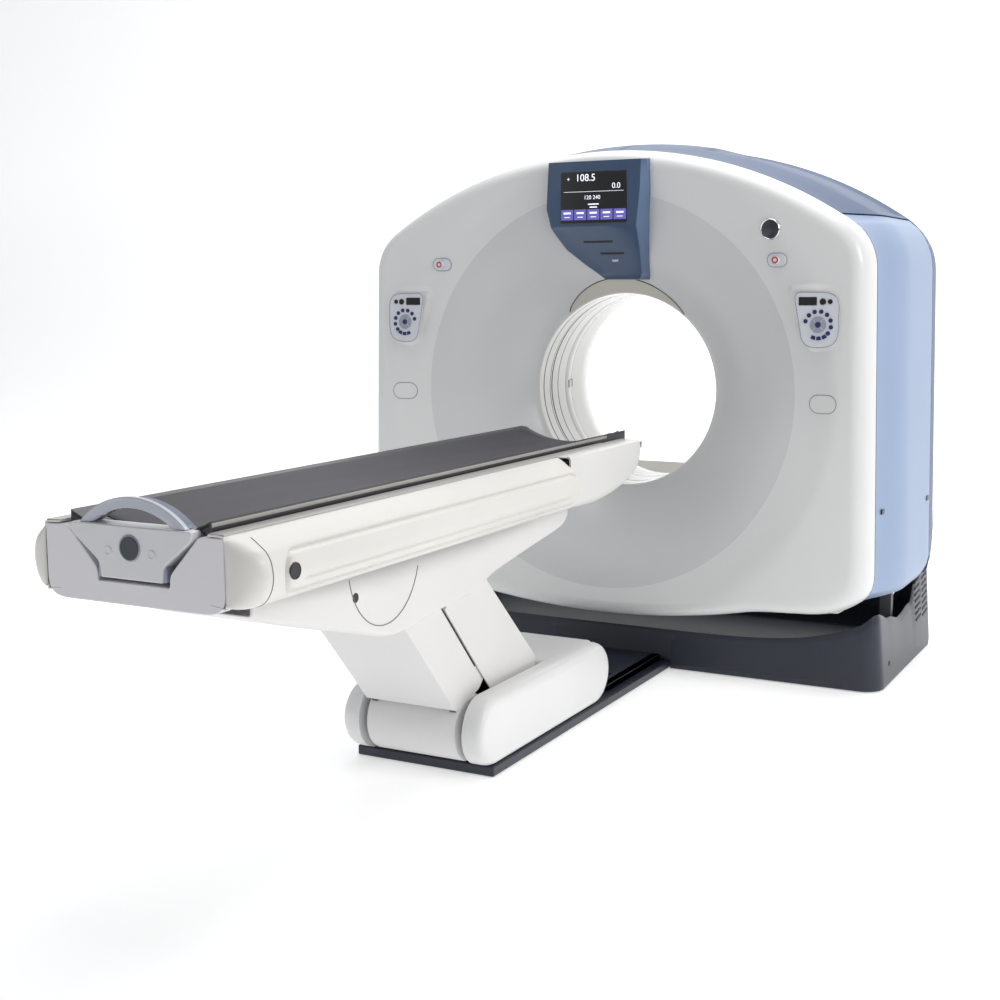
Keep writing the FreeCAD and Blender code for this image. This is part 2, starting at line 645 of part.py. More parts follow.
gearbox = cut(
    cylinder("x", "gearbox_radius", "gearbox_inner_x", "column_inner_x", y="tilt_axis_y", z="iso_height"),
    cylinder("x", "trunnion_radius + 2", "gearbox_inner_x - 1", "column_inner_x + 1",
             y="tilt_axis_y", z="iso_height"))
MOTOR_X = "((gearbox_inner_x + column_inner_x) / 2)"
motor = cylinder("z", "(column_inner_x - gearbox_inner_x) / 2 - 1",
                 "iso_height - gearbox_radius - motor_length",
                 "iso_height - gearbox_radius + 12", x=MOTOR_X, y="tilt_axis_y")
node("tilt_gearmotor", fuse(gearbox, motor))


# ---- tilting frame and rotor --------------------------------------------------------------------

ring_plate = cut(
    cylinder("y", "frame_outer_radius", "frame_front_y", "frame_front_y + frame_plate", z="iso_height"),
    cylinder("y", "bearing_outer_radius", "frame_front_y - 1", "frame_front_y + frame_plate + 1",
             z="iso_height"))
frame_parts = [ring_plate]
for name, side in SIDES:
    frame_parts.append(box(mirrored("frame_arm_x", "frame_arm_x + 20", side), ("tilt_axis_y - 70", "frame_front_y + frame_plate"),
                           ("iso_height - frame_arm_height / 2", "iso_height + frame_arm_height / 2")))
    frame_parts.append(box(mirrored("frame_outer_radius - 40", "frame_arm_x + 1", side), ("frame_front_y", "frame_front_y + frame_plate"),
                           ("iso_height - frame_arm_height / 2", "iso_height + frame_arm_height / 2")))
    low, high = mirrored("frame_arm_x + 10", "column_inner_x + column_thickness + 4", side)
    frame_parts.append(cylinder("x", "trunnion_radius", low, high, y="tilt_axis_y", z="iso_height"))
for _, side in SIDES:
    for across, up in (("post_reach * 0.707", "post_reach * 0.707"), ("post_reach * 0.96", "-100")):
        frame_parts.append(cylinder("y", "post_radius", "frame_front_y + frame_plate - 1", "rear_face_y - skin",
                                    x=f"{side} * {across}", z=f"iso_height + {up}"))
node("tilt_frame", fuse(*frame_parts))


def ring(label, inner, outer, start, end):
    """A plain ring about the bore's axis."""
    return node(label, cut(cylinder("y", outer, start, end, z="iso_height"),
                           cylinder("y", inner, f"{start} - 1", f"{end} + 1", z="iso_height")))


BEARING_START = "(frame_front_y - (bearing_width - frame_plate) / 2)"
ring("main_bearing_outer", "bearing_split_radius + running_clearance", "bearing_outer_radius",
     f"{BEARING_START} + 1", f"{BEARING_START} + bearing_width")
ring("main_bearing_inner", "bearing_inner_radius", "bearing_split_radius",
     BEARING_START, f"{BEARING_START} + bearing_width")
ROTOR_END = BEARING_START
ring("rotor_drum", "rotor_bore_radius", "rotor_radius", f"{ROTOR_END} - rotor_plate", ROTOR_END)
ring("slip_ring", "bearing_inner_radius + 6", "bearing_split_radius - 12",
     f"{BEARING_START} + bearing_width", f"{BEARING_START} + bearing_width + 26")

ROTOR_FACE = "((frame_front_y - (bearing_width - frame_plate) / 2) - rotor_plate)"
tube_case = cylinder("y", "95", "tilt_axis_y - 130", ROTOR_FACE, z="iso_height + 600")
node("x_ray_tube", tube_case)
node("collimator", box(("-90", "90"), ("tilt_axis_y - 60", ROTOR_FACE),
                       ("iso_height + 425", "iso_height + 503")))
node("rotor_power_units", group(*[
    box(mirrored("470", "650", side), ("tilt_axis_y - 90", ROTOR_FACE),
        ("iso_height - 150", "iso_height + 150"))
    for _, side in SIDES]))


def detector_array():
    """An arc of detectors facing the tube's focus across the bore."""
    focus = Vector(0, size("tilt_axis_y") - 60, size("iso_height") + 560)
    drum = size("frame_front_y") - (size("bearing_width") - size("frame_plate")) / 2 - size("rotor_plate")
    reach = drum - focus.y
    band = Part.makeCylinder(1080, reach, focus, Vector(0, 1, 0))
    band = band.cut(Part.makeCylinder(1010, reach, focus, Vector(0, 1, 0)))
    fan = math.radians(25)
    wedge = [Vector(0, focus.y, focus.z)]
    wedge += [Vector(side * 1300 * math.sin(fan), focus.y, focus.z - 1300 * math.cos(fan)) for side in (-1, 1)]
    return band.common(Part.Face(Part.makePolygon(wedge + wedge[:1])).extrude(Vector(0, reach, 0)))


shape_node("detector_array", detector_array())


# ---- table base ---------------------------------------------------------------------------------

node("table_base_plate", box(("-plate_half_width", "plate_half_width"),
                             ("plate_foot_y", "plate_head_y"), ("0", "plate_height")))

HEAD_PIVOT_Y = f"({PIVOT_Y} + arm_spacing)"
bracket_plates = []
for _, side in SIDES:
    low, high = "bracket_inner_x", "bracket_outer_x"
    low, high = (low, high) if side > 0 else (f"-{high}", f"-{low}")
    bracket_plates.append(pad(f"base_bracket_{side + 1}", "YZ_Plane", [
        (f"{PIVOT_Y} + 8", "plate_height"),
        (f"{HEAD_PIVOT_Y} + 90", "plate_height"),
        (f"{HEAD_PIVOT_Y} + pivot_boss_radius", PIVOT_Z),
        (f"{HEAD_PIVOT_Y} + pivot_boss_radius / 2", f"{PIVOT_Z} + pivot_boss_radius * 0.87"),
        (f"{HEAD_PIVOT_Y} - pivot_boss_radius / 2", f"{PIVOT_Z} + pivot_boss_radius * 0.87"),
        (f"{HEAD_PIVOT_Y} - 90", f"{PIVOT_Z} - 30"),
        (f"{PIVOT_Y} + 90", f"{PIVOT_Z} - 30"),
        (f"{PIVOT_Y} + pivot_boss_radius / 2", f"{PIVOT_Z} + pivot_boss_radius * 0.87"),
        (f"{PIVOT_Y} - pivot_boss_radius / 2", f"{PIVOT_Z} + pivot_boss_radius * 0.87"),
        (f"{PIVOT_Y} - pivot_boss_radius", PIVOT_Z),
        (f"{PIVOT_Y} - pivot_boss_radius / 2", f"{PIVOT_Z} - pivot_boss_radius * 0.87")],
        low, high, [
            (PIVOT_Y, PIVOT_Z, "pivot_radius + running_clearance"),
            (HEAD_PIVOT_Y, PIVOT_Z, "pivot_radius + running_clearance")]))
bracket_foot = box(("-bracket_outer_x", "bracket_outer_x"), (f"{PIVOT_Y} + 60", f"{HEAD_PIVOT_Y} - 70"),
                   ("plate_height", "plate_height + 8"))
node("lift_base_bracket", fuse(*bracket_plates, bracket_foot))


def side_shell(side):
    """A round-ended moulding along the table base, open below and inside."""
    outer_x = ("shell_inner_x", "shell_outer_x")
    low, high = outer_x if side > 0 else (f"-{outer_x[1]}", f"-{outer_x[0]}")
    inner_low = low if side < 0 else f"{low} - 1"
    inner_low = f"{low} + shell_wall" if side < 0 else inner_low
    inner_high = f"{high} - shell_wall" if side > 0 else f"{high} + 1"
    solids = []
    for radius, first, last in (("shell_radius", low, high),
                                ("(shell_radius - shell_wall)", inner_low, inner_high)):
        foot = cylinder("x", radius, first, last, y="shell_foot_y", z="shell_axis_z")
        head = cylinder("x", radius, first, last, y="shell_head_y", z="shell_axis_z")
        middle = box((first, last), ("shell_foot_y", "shell_head_y"),
                     (f"shell_axis_z - {radius}", f"shell_axis_z + {radius}"))
        solids.append(fuse(foot, head, middle))
    below = box((f"{low} - 1", f"{high} + 1"), ("shell_foot_y - 200", "shell_head_y + 200"),
                ("-10", "plate_height"))
    return cut(solids[0], solids[1], below)


for name, side in SIDES:
    node(f"base_shell_{name}", side_shell(side))

rear_outer = fuse(
    cylinder("x", "shell_radius - 1", "-(shell_inner_x - 2)", "shell_inner_x - 2", y="shell_head_y",
             z="shell_axis_z"),
    box(("-(shell_inner_x - 2)", "shell_inner_x - 2"), ("rear_cover_front_y", "shell_head_y"),
        ("plate_height", "shell_axis_z + shell_radius - 1")))
rear_inner = fuse(
    cylinder("x", "shell_radius - 1 - shell_wall", "-(shell_inner_x - 7)", "shell_inner_x - 7",
             y="shell_head_y", z="shell_axis_z"),
    box(("-(shell_inner_x - 7)", "shell_inner_x - 7"), ("rear_cover_front_y - 1", "shell_head_y"),
        ("-1", "shell_axis_z + shell_radius - 1 - shell_wall")))
node("base_rear_cover", cut(rear_outer, rear_inner, box(
    ("-shell_inner_x", "shell_inner_x"), ("rear_cover_front_y - 1", "shell_head_y + 200"),
    ("-10", "plate_height"))))

node("lift_gearmotor", fuse(
    box(("-80", "80"), (f"{HEAD_PIVOT_Y} + 150", f"{HEAD_PIVOT_Y} + 270"), ("plate_height", "plate_height + 110")),
    cylinder("y", "42", f"{HEAD_PIVOT_Y} + 269", f"{HEAD_PIVOT_Y} + 400", z="plate_height + 60")))

CHANNEL_END = "-2"
channel = box(("-plate_half_width + 30", "plate_half_width - 30"), ("shell_head_y + shell_radius + 15", CHANNEL_END),
              ("plate_height", "plate_height + 22"))
PEDAL_START = "(shell_head_y + shell_radius + 70)"
PEDAL_HINGE = f"({PEDAL_START} + pedal_length)"
wells = []
for _, side in SIDES:
    centre = f"{side} * 110"
    wells.append(box((f"{centre} - pedal_width / 2 - 4", f"{centre} + pedal_width / 2 + 4"),
                     (f"{PEDAL_START} - 4", f"{PEDAL_HINGE} + 12"),
                     ("plate_height + 4", "plate_height + 30")))
node("pedal_channel", cut(channel, *wells))
for name, side in SIDES:
    centre = f"{side} * 110"
    node(f"foot_pedal_{name}", fuse(
        box((f"{centre} - pedal_width / 2", f"{centre} + pedal_width / 2"), (PEDAL_START, PEDAL_HINGE),
            ("plate_height + 16", "plate_height + 16 + pedal_thick")),
        cylinder("x", "6", f"{centre} - pedal_width / 2 - 3.7", f"{centre} + pedal_width / 2 + 3.7",
                 y=PEDAL_HINGE, z="plate_height + 18")))


# ---- lift arms, built lying along -Y from their base pivot, then turned up ----------------------

ARM_TURN = "-arm_angle"


def arm_piece(label, item, base_y):
    """Turn a piece that was built at its base pivot up to the arm's angle."""
    holder = doc.addObject("Part::Compound", label)
    holder.Links = [item]
    return node(label, place(holder, "0", base_y, PIVOT_Z, ARM_TURN))


def arm_profile(label, points, low, high, holes=()):
    """A plate of an arm: (distance along the arm, offset from its axis) points."""
    flipped = [(f"-({along})", offset) for along, offset in points]
    drilled = [(f"-({along})", offset, radius) for along, offset, radius in holes]
    return pad(label, "YZ_Plane", flipped, low, high, drilled)


bars = []
for name, side in SIDES:
    bars.append(arm_profile(f"front_bar_{name}", [
        ("-bar_half_depth", "-bar_half_depth * 0.4"), ("-bar_half_depth * 0.4", "-bar_half_depth"),
        ("60", "-bar_half_depth"), ("85", "front_cover_face + arm_cover_wall"),
        ("arm_length - 85", "front_cover_face + arm_cover_wall"), ("arm_length - 60", "-bar_half_depth"),
        ("arm_length + bar_half_depth * 0.4", "-bar_half_depth"),
        ("arm_length + bar_half_depth", "-bar_half_depth * 0.4"), ("arm_length + bar_half_depth", "bar_half_depth * 0.4"),
        ("arm_length + bar_half_depth * 0.4", "bar_half_depth"), ("-bar_half_depth * 0.4", "bar_half_depth"),
        ("-bar_half_depth", "bar_half_depth * 0.4")],
        *mirrored("front_bar_inner_x", "front_bar_outer_x", side),
        [("0", "0", "pivot_radius + running_clearance"), ("arm_length", "0", "pivot_radius + running_clearance")]))
cross_tie = arm_profile("front_tie", [
    ("arm_length - 260", "-10"), ("arm_length - 220", "-10"), ("arm_length - 220", "16"),
    ("arm_length - 260", "16")],
    "-front_bar_outer_x + 1", "front_bar_outer_x - 1")
arm_piece("front_arm", fuse(*bars, cross_tie), PIVOT_Y)

face, wall = "front_cover_face", "arm_cover_wall"
cover_points = [
    ("front_cover_start", face), ("arm_length - 100", face), ("arm_length - 100", "80"),
    ("arm_length - 190", "front_cover_edge - 40"), ("arm_length - 260", "front_cover_edge - 18"),
    ("arm_length - 360", "front_cover_edge - 8"), ("front_cover_start + 10", "front_cover_edge")]
hollow_points = [
    ("front_cover_start - 9", f"{face} + {wall}"), ("arm_length + 9", f"{face} + {wall}"),
    ("arm_length + 9", "front_cover_edge + 90"), ("front_cover_start - 9", "front_cover_edge + 90")]
arm_piece("front_arm_cover", cut(
    arm_profile("front_cover_hull", cover_points, "-front_cover_half_width", "front_cover_half_width"),
    arm_profile("front_cover_hollow", hollow_points, f"-(front_cover_half_width - {wall})",
                f"front_cover_half_width - {wall}")), PIVOT_Y)

ROLL_TOP, ROLL_LOW, ROLL_BAR = 47, -50, 36


def sector(first, last, reach):
    """Corners of a wedge about the base pivot, between two angles up from -Y."""
    middle = math.radians((first + last) / 2)
    angles = (math.radians(first), middle, math.radians(last))
    return [(0, 0)] + [(-reach * math.cos(angle), reach * math.sin(angle)) for angle in angles]


def front_roll():
    """The round toe of the front arm: part of a tube, with an end rib against each bar."""
    outer, wall = size("roll_outer_radius"), size("arm_cover_wall")
    half, inner = size("front_cover_half_width"), size("front_bar_outer_x") + 0.3
    reach = 1.9 * outer
    tube = Part.makeCylinder(outer, 2 * half, Vector(-half, 0, 0), Vector(1, 0, 0))
    tube = tube.cut(Part.makeCylinder(outer - wall, 2 * inner, Vector(-inner, 0, 0), Vector(1, 0, 0)))
    tube = tube.cut(Part.makeCylinder(outer - 30, 2 * half + 2, Vector(-half - 1, 0, 0), Vector(1, 0, 0)))
    tube = tube.common(prism(sector(ROLL_LOW, ROLL_TOP, reach), -half, half))
    return tube.cut(prism(sector(ROLL_BAR, ROLL_TOP + 4, reach), -inner, inner))


def whole_item(shape):
    """A plain holder for a shape that code makes."""
    item = doc.addObject("Part::Feature", "shape")
    item.Shape = shape
    return item


roll = doc.addObject("Part::Compound", "roll")
roll.Links = [whole_item(front_roll())]
node("front_arm_roll", place(roll, "0", PIVOT_Y, PIVOT_Z))

beam = arm_profile("rear_beam", [
    ("-bar_half_depth", "-bar_half_depth * 0.4"), ("-bar_half_depth * 0.4", "-bar_half_depth"),
    ("arm_length + bar_half_depth * 0.4", "-bar_half_depth"),
    ("arm_length + bar_half_depth", "-bar_half_depth * 0.4"), ("arm_length + bar_half_depth", "bar_half_depth * 0.4"),
    ("arm_length + bar_half_depth * 0.4", "bar_half_depth"), ("-bar_half_depth * 0.4", "bar_half_depth"),
    ("-bar_half_depth", "bar_half_depth * 0.4")],
    "-rear_beam_half_width", "rear_beam_half_width",
    [("0", "0", "pivot_radius + running_clearance"), ("arm_length", "0", "pivot_radius + running_clearance")])
core = arm_profile("rear_beam_core", [
    ("bar_half_depth + 20", "-bar_half_depth + 6"), ("arm_length - bar_half_depth - 20", "-bar_half_depth + 6"),
    ("arm_length - bar_half_depth - 20", "bar_half_depth - 6"), ("bar_half_depth + 20", "bar_half_depth - 6")],
    "-(rear_beam_half_width - 8)", "rear_beam_half_width - 8")


def under_web(along):
    """The offset just inside the rear cover's web, at a distance along the arm."""
    slope = "(rear_cover_face_low - rear_cover_face_high + 1) / (rear_cover_end + 14)"
    return f"rear_cover_face_low - arm_cover_wall - 0.3 - {slope} * ({along} + 4)"


POST_START, POST_END = "(arm_length * 0.35)", "(arm_length * 0.35 + 60)"
web_post = arm_profile("rear_post", [
    (POST_START, "bar_half_depth - 1"), (POST_END, "bar_half_depth - 1"),
    (POST_END, under_web(POST_END)), (POST_START, under_web(POST_START))],
    "-60", "60")
arm_piece("rear_arm", fuse(cut(beam, core), web_post), HEAD_PIVOT_Y)

rear_points = [
    ("6", "rear_cover_face_low"), ("rear_cover_end", "rear_cover_face_high"),
    ("rear_cover_end", "rear_cover_edge"), ("arm_length * 0.12", "rear_cover_edge"), ("6", "0")]
rear_hollow = [
    ("-4", f"rear_cover_face_low - {wall}"), ("rear_cover_end + 10", f"rear_cover_face_high - {wall} - 1"),
    ("rear_cover_end + 10", "rear_cover_edge - 60"), ("-4", "rear_cover_edge - 60")]
arm_piece("rear_arm_cover", cut(
    arm_profile("rear_cover_hull", rear_points, "-rear_cover_half_width", "rear_cover_half_width"),
    arm_profile("rear_cover_hollow", rear_hollow, f"-(rear_cover_half_width - {wall})",
                f"rear_cover_half_width - {wall}")), HEAD_PIVOT_Y)

base_pins = [
    cylinder("x", "pivot_radius", *mirrored("bracket_inner_x", "front_bar_outer_x + 3", side),
             y=PIVOT_Y, z=PIVOT_Z)
    for _, side in SIDES]
base_pins.append(cylinder("x", "pivot_radius", "-bracket_outer_x - 2", "bracket_outer_x + 2",
                          y=HEAD_PIVOT_Y, z=PIVOT_Z))
node("lift_base_pins", group(*base_pins))
HEAD_TOP_Y = f"({TOP_Y} + arm_spacing)"
node("lift_top_pins", group(
    cylinder("x", "pivot_radius", "-front_bar_outer_x - 2", "front_bar_outer_x + 2", y=TOP_Y, z=TOP_Z),
    cylinder("x", "pivot_radius", "-bracket_outer_x - 2", "bracket_outer_x + 2", y=HEAD_TOP_Y, z=TOP_Z)))


# ---- table top, measured from the lift's front top pivot ----------------------------------------

def top_y(text):
    """A depth measured from the front top pivot."""
    return f"({TOP_Y} + ({text}))"


def top_z(text):
    """A height measured from the front top pivot."""
    return f"({TOP_Z} + ({text}))"


def top_box(x, y, z):
    """A box placed from the front top pivot."""
    return box(x, [top_y(text) for text in y], [top_z(text) for text in z])


def top_node(label, shape):
    """A free-form sub-part drawn about the front top pivot, and placed there."""
    item = doc.addObject("Part::Feature", label)
    item.Shape = shape
    return node(label, place(item, "0", TOP_Y, TOP_Z))


def section(points, start, end):
    """A block of an XZ outline between two depths."""
    corners = [Vector(x, start, z) for x, z in points]
    return Part.Face(Part.makePolygon(corners + corners[:1])).extrude(Vector(0, end - start, 0))


def mirror_outline(points):
    """The right half of an XZ outline, as expressions, closed by its mirror image."""
    return points + [(f"-({x})", z) for x, z in reversed(points)]


TROUGH = mirror_outline([
    ("frame_floor_x", "frame_floor"), ("frame_floor_x + 20", "frame_floor + 45"),
    ("frame_wall_x", "frame_wall_top - 25"), ("frame_wall_x", "frame_wall_top - frame_wall"),
    ("frame_flange_x", "frame_wall_top - frame_wall"), ("frame_flange_x", "frame_wall_top")])
TROUGH_INSIDE = mirror_outline([
    ("frame_floor_x - 5", "frame_floor + 5"), ("frame_floor_x + 12", "frame_floor + 47"),
    ("frame_wall_x - frame_wall", "frame_wall_top - 22"), ("frame_wall_x - frame_wall", "frame_wall_top + 1")])


def top_section(label, points, start, end):
    """An XZ outline padded along the table, placed from the front top pivot."""
    return pad(label, "XZ_Plane", [(x, top_z(z)) for x, z in points], top_y(start), top_y(end))


frame_parts = [cut(top_section("trough", TROUGH, "frame_foot", "frame_head"),
                   top_section("trough_inside", TROUGH_INSIDE, "frame_foot - 1", "frame_head + 1"))]
for name, side in SIDES:
    frame_parts.append(pad(f"top_bracket_{name}", "YZ_Plane", [
        (top_y("-pivot_boss_radius"), top_z("frame_floor + 1")),
        (top_y("-pivot_boss_radius"), top_z("-pivot_boss_radius / 2")),
        (top_y("-pivot_boss_radius / 2"), top_z("-pivot_boss_radius")),
        (top_y("arm_spacing + pivot_boss_radius / 2"), top_z("-pivot_boss_radius")),
        (top_y("arm_spacing + pivot_boss_radius"), top_z("-pivot_boss_radius / 2")),
        (top_y("arm_spacing + pivot_boss_radius"), top_z("frame_floor + 1"))],
        *mirrored("bracket_inner_x", "bracket_outer_x", side),
        [(top_y("0"), top_z("0"), "pivot_radius + running_clearance"),
         (top_y("arm_spacing"), top_z("0"), "pivot_radius + running_clearance")]))
    frame_parts.append(top_box(mirrored("rail_inner_x", "rail_inner_x + rail_width", side),
                               ("frame_foot", "frame_head"),
                               ("frame_wall_top - 1", "frame_wall_top + rail_height")))
node("table_frame", fuse(*frame_parts))


# The side covers' cross-section: (distance out from the centre line, height above the top pivot).
SIDE_BULGE = ((40, 0), (63, 26), (73, 51), (75, 76), (69, 106), (53, 136), (35, 152), (0, 156))


def side_outline(inset):
    """One side cover's section, drawn in by its wall."""
    inner, low, high = size("side_inner_x"), size("side_low"), size("side_high")
    lip = size("side_lip_x")
    middle = (low + high) / 2
    reach = size("side_outer_x") - inner
    points = []
    for out, up in SIDE_BULGE:
        share = 1 - inset / reach
        points.append((inner + out * share, middle + (low + up - middle) * share))
    if inset:
        return [(inner - 1, low + inset)] + points[:-1] + [(lip - 1, high - inset)] + [
            (lip - 1, high - inset - 30), (inner - 1, high - inset - 30)]
    return [(inner, low)] + points[:-1] + [(inner, high), (lip, high), (lip, high - size("cover_wall")),
                                           (inner, high - size("cover_wall"))]


def side_cover(side):
    """A bulged moulding along the table with bulkheads that bolt to the frame's flange."""
    foot, head, wall = size("table_foot"), size("side_cover_head"), size("cover_wall")
    bulkheads = [size("frame_foot"), -60, 420, head - wall]
    shell = section([(side * x, z) for x, z in side_outline(0)], foot, head)
    inside = section([(side * x, z) for x, z in side_outline(wall)], foot + wall, head + 1)
    shell = shell.cut(inside)
    hull = section([(side * x, z) for x, z in side_outline(0)], foot, head)
    flange_low = size("frame_wall_top") - size("frame_wall")
    reach = size("side_outer_x")
    for start in bulkheads:
        web = slab(sorted((side * (size("side_inner_x") - 1), side * (reach + 1))),
                   (start, start + wall), (size("side_low"), size("side_high")))
        tab = slab(sorted((side * size("bulkhead_x"), side * (size("side_inner_x") + 1))),
                   (start, start + wall), (flange_low - 40, size("frame_wall_top")))
        shell = shell.fuse(web.common(hull)).fuse(tab)
    return shell.removeSplitter()


for name, side in SIDES:
    top_node(f"side_cover_{name}", side_cover(side))


def v_outline(grow):
    """The V-shaped end of the cradle, grown by a gap."""
    top, low = size("block_top_half_width") + grow, size("block_low_half_width") + grow
    bottom, high = size("block_low") - grow, size("block_high") + grow
    return [(-top, high), (top, high), (top, high - size("block_shoulder")), (low, bottom),
            (-low, bottom), (-top, high - size("block_shoulder"))]


def foot_end_cover():
    """The plate across the table's foot, notched for the cradle's end."""
    foot, half = size("table_foot"), size("side_inner_x") - 0.3
    low, high = size("foot_cover_low"), size("side_high") - size("cover_wall") - 0.3
    plate = section([(-half, low + 40), (-half, high), (half, high), (half, low + 40), (half - 60, low),
                     (60 - half, low)], foot, foot + 5)
    plate = plate.cut(section(v_outline(size("notch_gap")), foot - 1, foot + 6))
    for _, side in SIDES:
        rib = slab(sorted((side * 196, side * 204)), (foot + 4, size("frame_foot")),
                   (size("frame_wall_top") - 45, size("frame_wall_top")))
        plate = plate.fuse(rib)
    return plate.removeSplitter()


top_node("foot_end_cover", foot_end_cover())

# The nose's side view: (share of its length, height above the top pivot).
NOSE_PROFILE = ((0, 26), (0.07, 31), (0.39, 13), (0.9, 69), (0.985, 140), (1, 158))


def nose_prism(half, start, top, inset):
    """The nose's block, drawn in from below and from its tip."""
    foot, tip = size("side_cover_head") + 0.3, size("nose_tip")
    reach = tip - foot - inset
    points = [(foot + share * reach, height + inset) for share, height in NOSE_PROFILE]
    points[0] = (foot + start, points[0][1])
    return prism(points + [(foot + reach, top), (foot + start, top)], -half, half)


def head_nose_cover():
    """The tub under the cradle at the table's head."""
    half, wall, high = size("nose_half_width"), size("cover_wall"), size("side_high")
    shell = nose_prism(half, 0, high, 0).cut(nose_prism(half - wall, -10, high - wall, wall))
    lip = size("side_lip_x")
    foot, tip = size("side_cover_head"), size("nose_tip")
    shell = shell.cut(slab((-lip, lip), (foot - 1, tip + 1), (size("nose_mouth"), high + 1)))
    for _, side in SIDES:
        rib = slab(sorted((side * size("bulkhead_x"), side * (half - 1))), (foot + 60, foot + 64),
                   (size("frame_wall_top") - 60, high - 1))
        shell = shell.fuse(rib)
    return shell.removeSplitter()


top_node("head_nose_cover", head_nose_cover())

# The underbody's side view: (depth from the top pivot, height above it).
UNDERBODY = ((-498, -43), (-276, -113), (-110, -157), (0, -191), (117, -205), (318, -187),
             (558, -176), (570, -149), (786, -115), (1058, -76), (1114, -43))


def underbody_cover():
    """A narrow skirt round the lift's head, closed below at the foot and open over the arms."""
    half, wall, top = size("underbody_half_width"), size("underbody_wall"), size("underbody_top")
    foot, head = UNDERBODY[0][0], UNDERBODY[-1][0]
    step = size("side_cover_head") - 6
    hull = prism(list(UNDERBODY) + [(head, 5), (step, 5), (step, top), (foot, top)], -half, half)
    closed = [(y, z + wall) for y, z in UNDERBODY if y < -20]
    closed[0] = (foot + wall, closed[0][1])
    hollow = prism(closed + [(-12, -181), (-12, -300), (head - wall, -300), (head - wall, top + 1),
                             (foot + wall, top + 1)], wall - half, half - wall)
    shell = hull.cut(hollow)
    for _, side in SIDES:
        for start in (-400, 700):
            tab = slab(sorted((side * (half - wall), side * half)), (start, start + 60),
                       (top - 1, size("frame_floor") + size("underbody_tab")))
            shell = shell.fuse(tab)
    return shell.removeSplitter()


top_node("underbody_cover", underbody_cover())


# ---- cradle -------------------------------------------------------------------------------------

def cradle_curve(offset):
    """Radius and centre height of the cradle's dished top, sunk by an offset."""
    half, dip = size("cradle_half_width"), size("cradle_dip")
    radius = (half ** 2 + dip ** 2) / (2 * dip)
    return radius + offset, size("cradle_top") - dip + radius


def dished(half, upper, lower, start, end):
    """A slab between two concentric arcs, as wide as twice a half width."""
    edges = []
    corners = []
    for offset, sign in ((upper, 1), (lower, -1)):
        radius, centre = cradle_curve(offset)
        edge_z = centre - math.sqrt(radius ** 2 - half ** 2)
        ends = [Vector(-sign * half, start, edge_z), Vector(sign * half, start, edge_z)]
        edges.append(Part.Arc(ends[0], Vector(0, start, centre - radius), ends[1]).toShape())
        corners.append(ends)
    edges.insert(1, Part.LineSegment(corners[0][1], corners[1][0]).toShape())
    edges.append(Part.LineSegment(corners[1][1], corners[0][0]).toShape())
    return Part.Face(Part.Wire(edges)).extrude(Vector(0, end - start, 0))


def cradle():
    """The sliding top: a dished carbon slab on two runners."""
    foot, head, half = size("cradle_foot"), size("cradle_head"), size("cradle_half_width")
    slab_shape = dished(half, 0, size("cradle_thick"), foot, head)
    rail_top = size("frame_wall_top") + size("rail_height")
    for _, side in SIDES:
        runner = slab(sorted((side * (half - 17), side * half)), (foot, head),
                      (rail_top + size("runner_gap"), size("cradle_top") - 12))
        slab_shape = slab_shape.fuse(runner)
    return slab_shape.removeSplitter()


top_node("cradle", cradle())
top_node("cradle_mat", dished(
    size("cradle_half_width") - 13, -size("mat_thick"), -size("mat_gap"), size("cradle_foot") + 60,
    size("cradle_head") - 40))


def cradle_end_block():
    """The V-shaped foot of the cradle, with two screw caps and a bare disc on its face."""
    start = size("cradle_foot") - 30
    block = section(v_outline(0), start, start + size("block_depth"))
    for x, up, radius in ((-66, 49, 11), (66, 49, 11), (0, 63, 17)):
        disc = Part.makeCylinder(radius, 4, Vector(x, start - 3, size("block_low") + up), Vector(0, 1, 0))
        block = block.fuse(disc)
    return block.cut(cradle())


top_node("cradle_end_block", cradle_end_block())


def cradle_handle():
    """An arched grip standing on the cradle's foot."""
    outer, start = size("handle_radius"), size("cradle_foot") - 26
    section_size, high = size("handle_section"), size("block_high")
    centre = Vector(0, start, high + size("handle_rise") - outer)
    arch = Part.makeCylinder(outer, section_size, centre, Vector(0, 1, 0))
    arch = arch.cut(Part.makeCylinder(outer - section_size + 4, section_size, centre, Vector(0, 1, 0)))
    return arch.common(slab((-outer, outer), (start - 1, start + section_size + 1),
                            (high, high + size("handle_rise") + 1)))


top_node("cradle_handle", cradle_handle())

WHEEL_Z = "(cradle_top - cradle_dip - cradle_thick - drive_wheel_radius - runner_gap)"
WHEEL_Y = "(frame_head - 130)"
node("cradle_drive_wheel", fuse(
    cylinder("x", "drive_wheel_radius", "-15", "15", y=top_y(WHEEL_Y), z=top_z(WHEEL_Z)),
    cylinder("x", "8", "-34", "30", y=top_y(WHEEL_Y), z=top_z(WHEEL_Z))))
motor_case = fuse(
    cylinder("x", "26", "22", "92", y=top_y(WHEEL_Y), z=top_z(WHEEL_Z)),
    top_box(("22", "92"), (f"{WHEEL_Y} - 26", f"{WHEEL_Y} + 26"), ("frame_floor + 5", WHEEL_Z)),
    top_box(("-34", "-22"), (f"{WHEEL_Y} - 14", f"{WHEEL_Y} + 14"), ("frame_floor + 5", f"{WHEEL_Z} + 14")),
    top_box(("-34", "23"), (f"{WHEEL_Y} - 14", f"{WHEEL_Y} + 14"), ("frame_floor + 5", "frame_floor + 11")))
node("cradle_drive_motor", cut(motor_case, cylinder(
    "x", "8 + running_clearance", "-35", "40", y=top_y(WHEEL_Y), z=top_z(WHEEL_Z))))

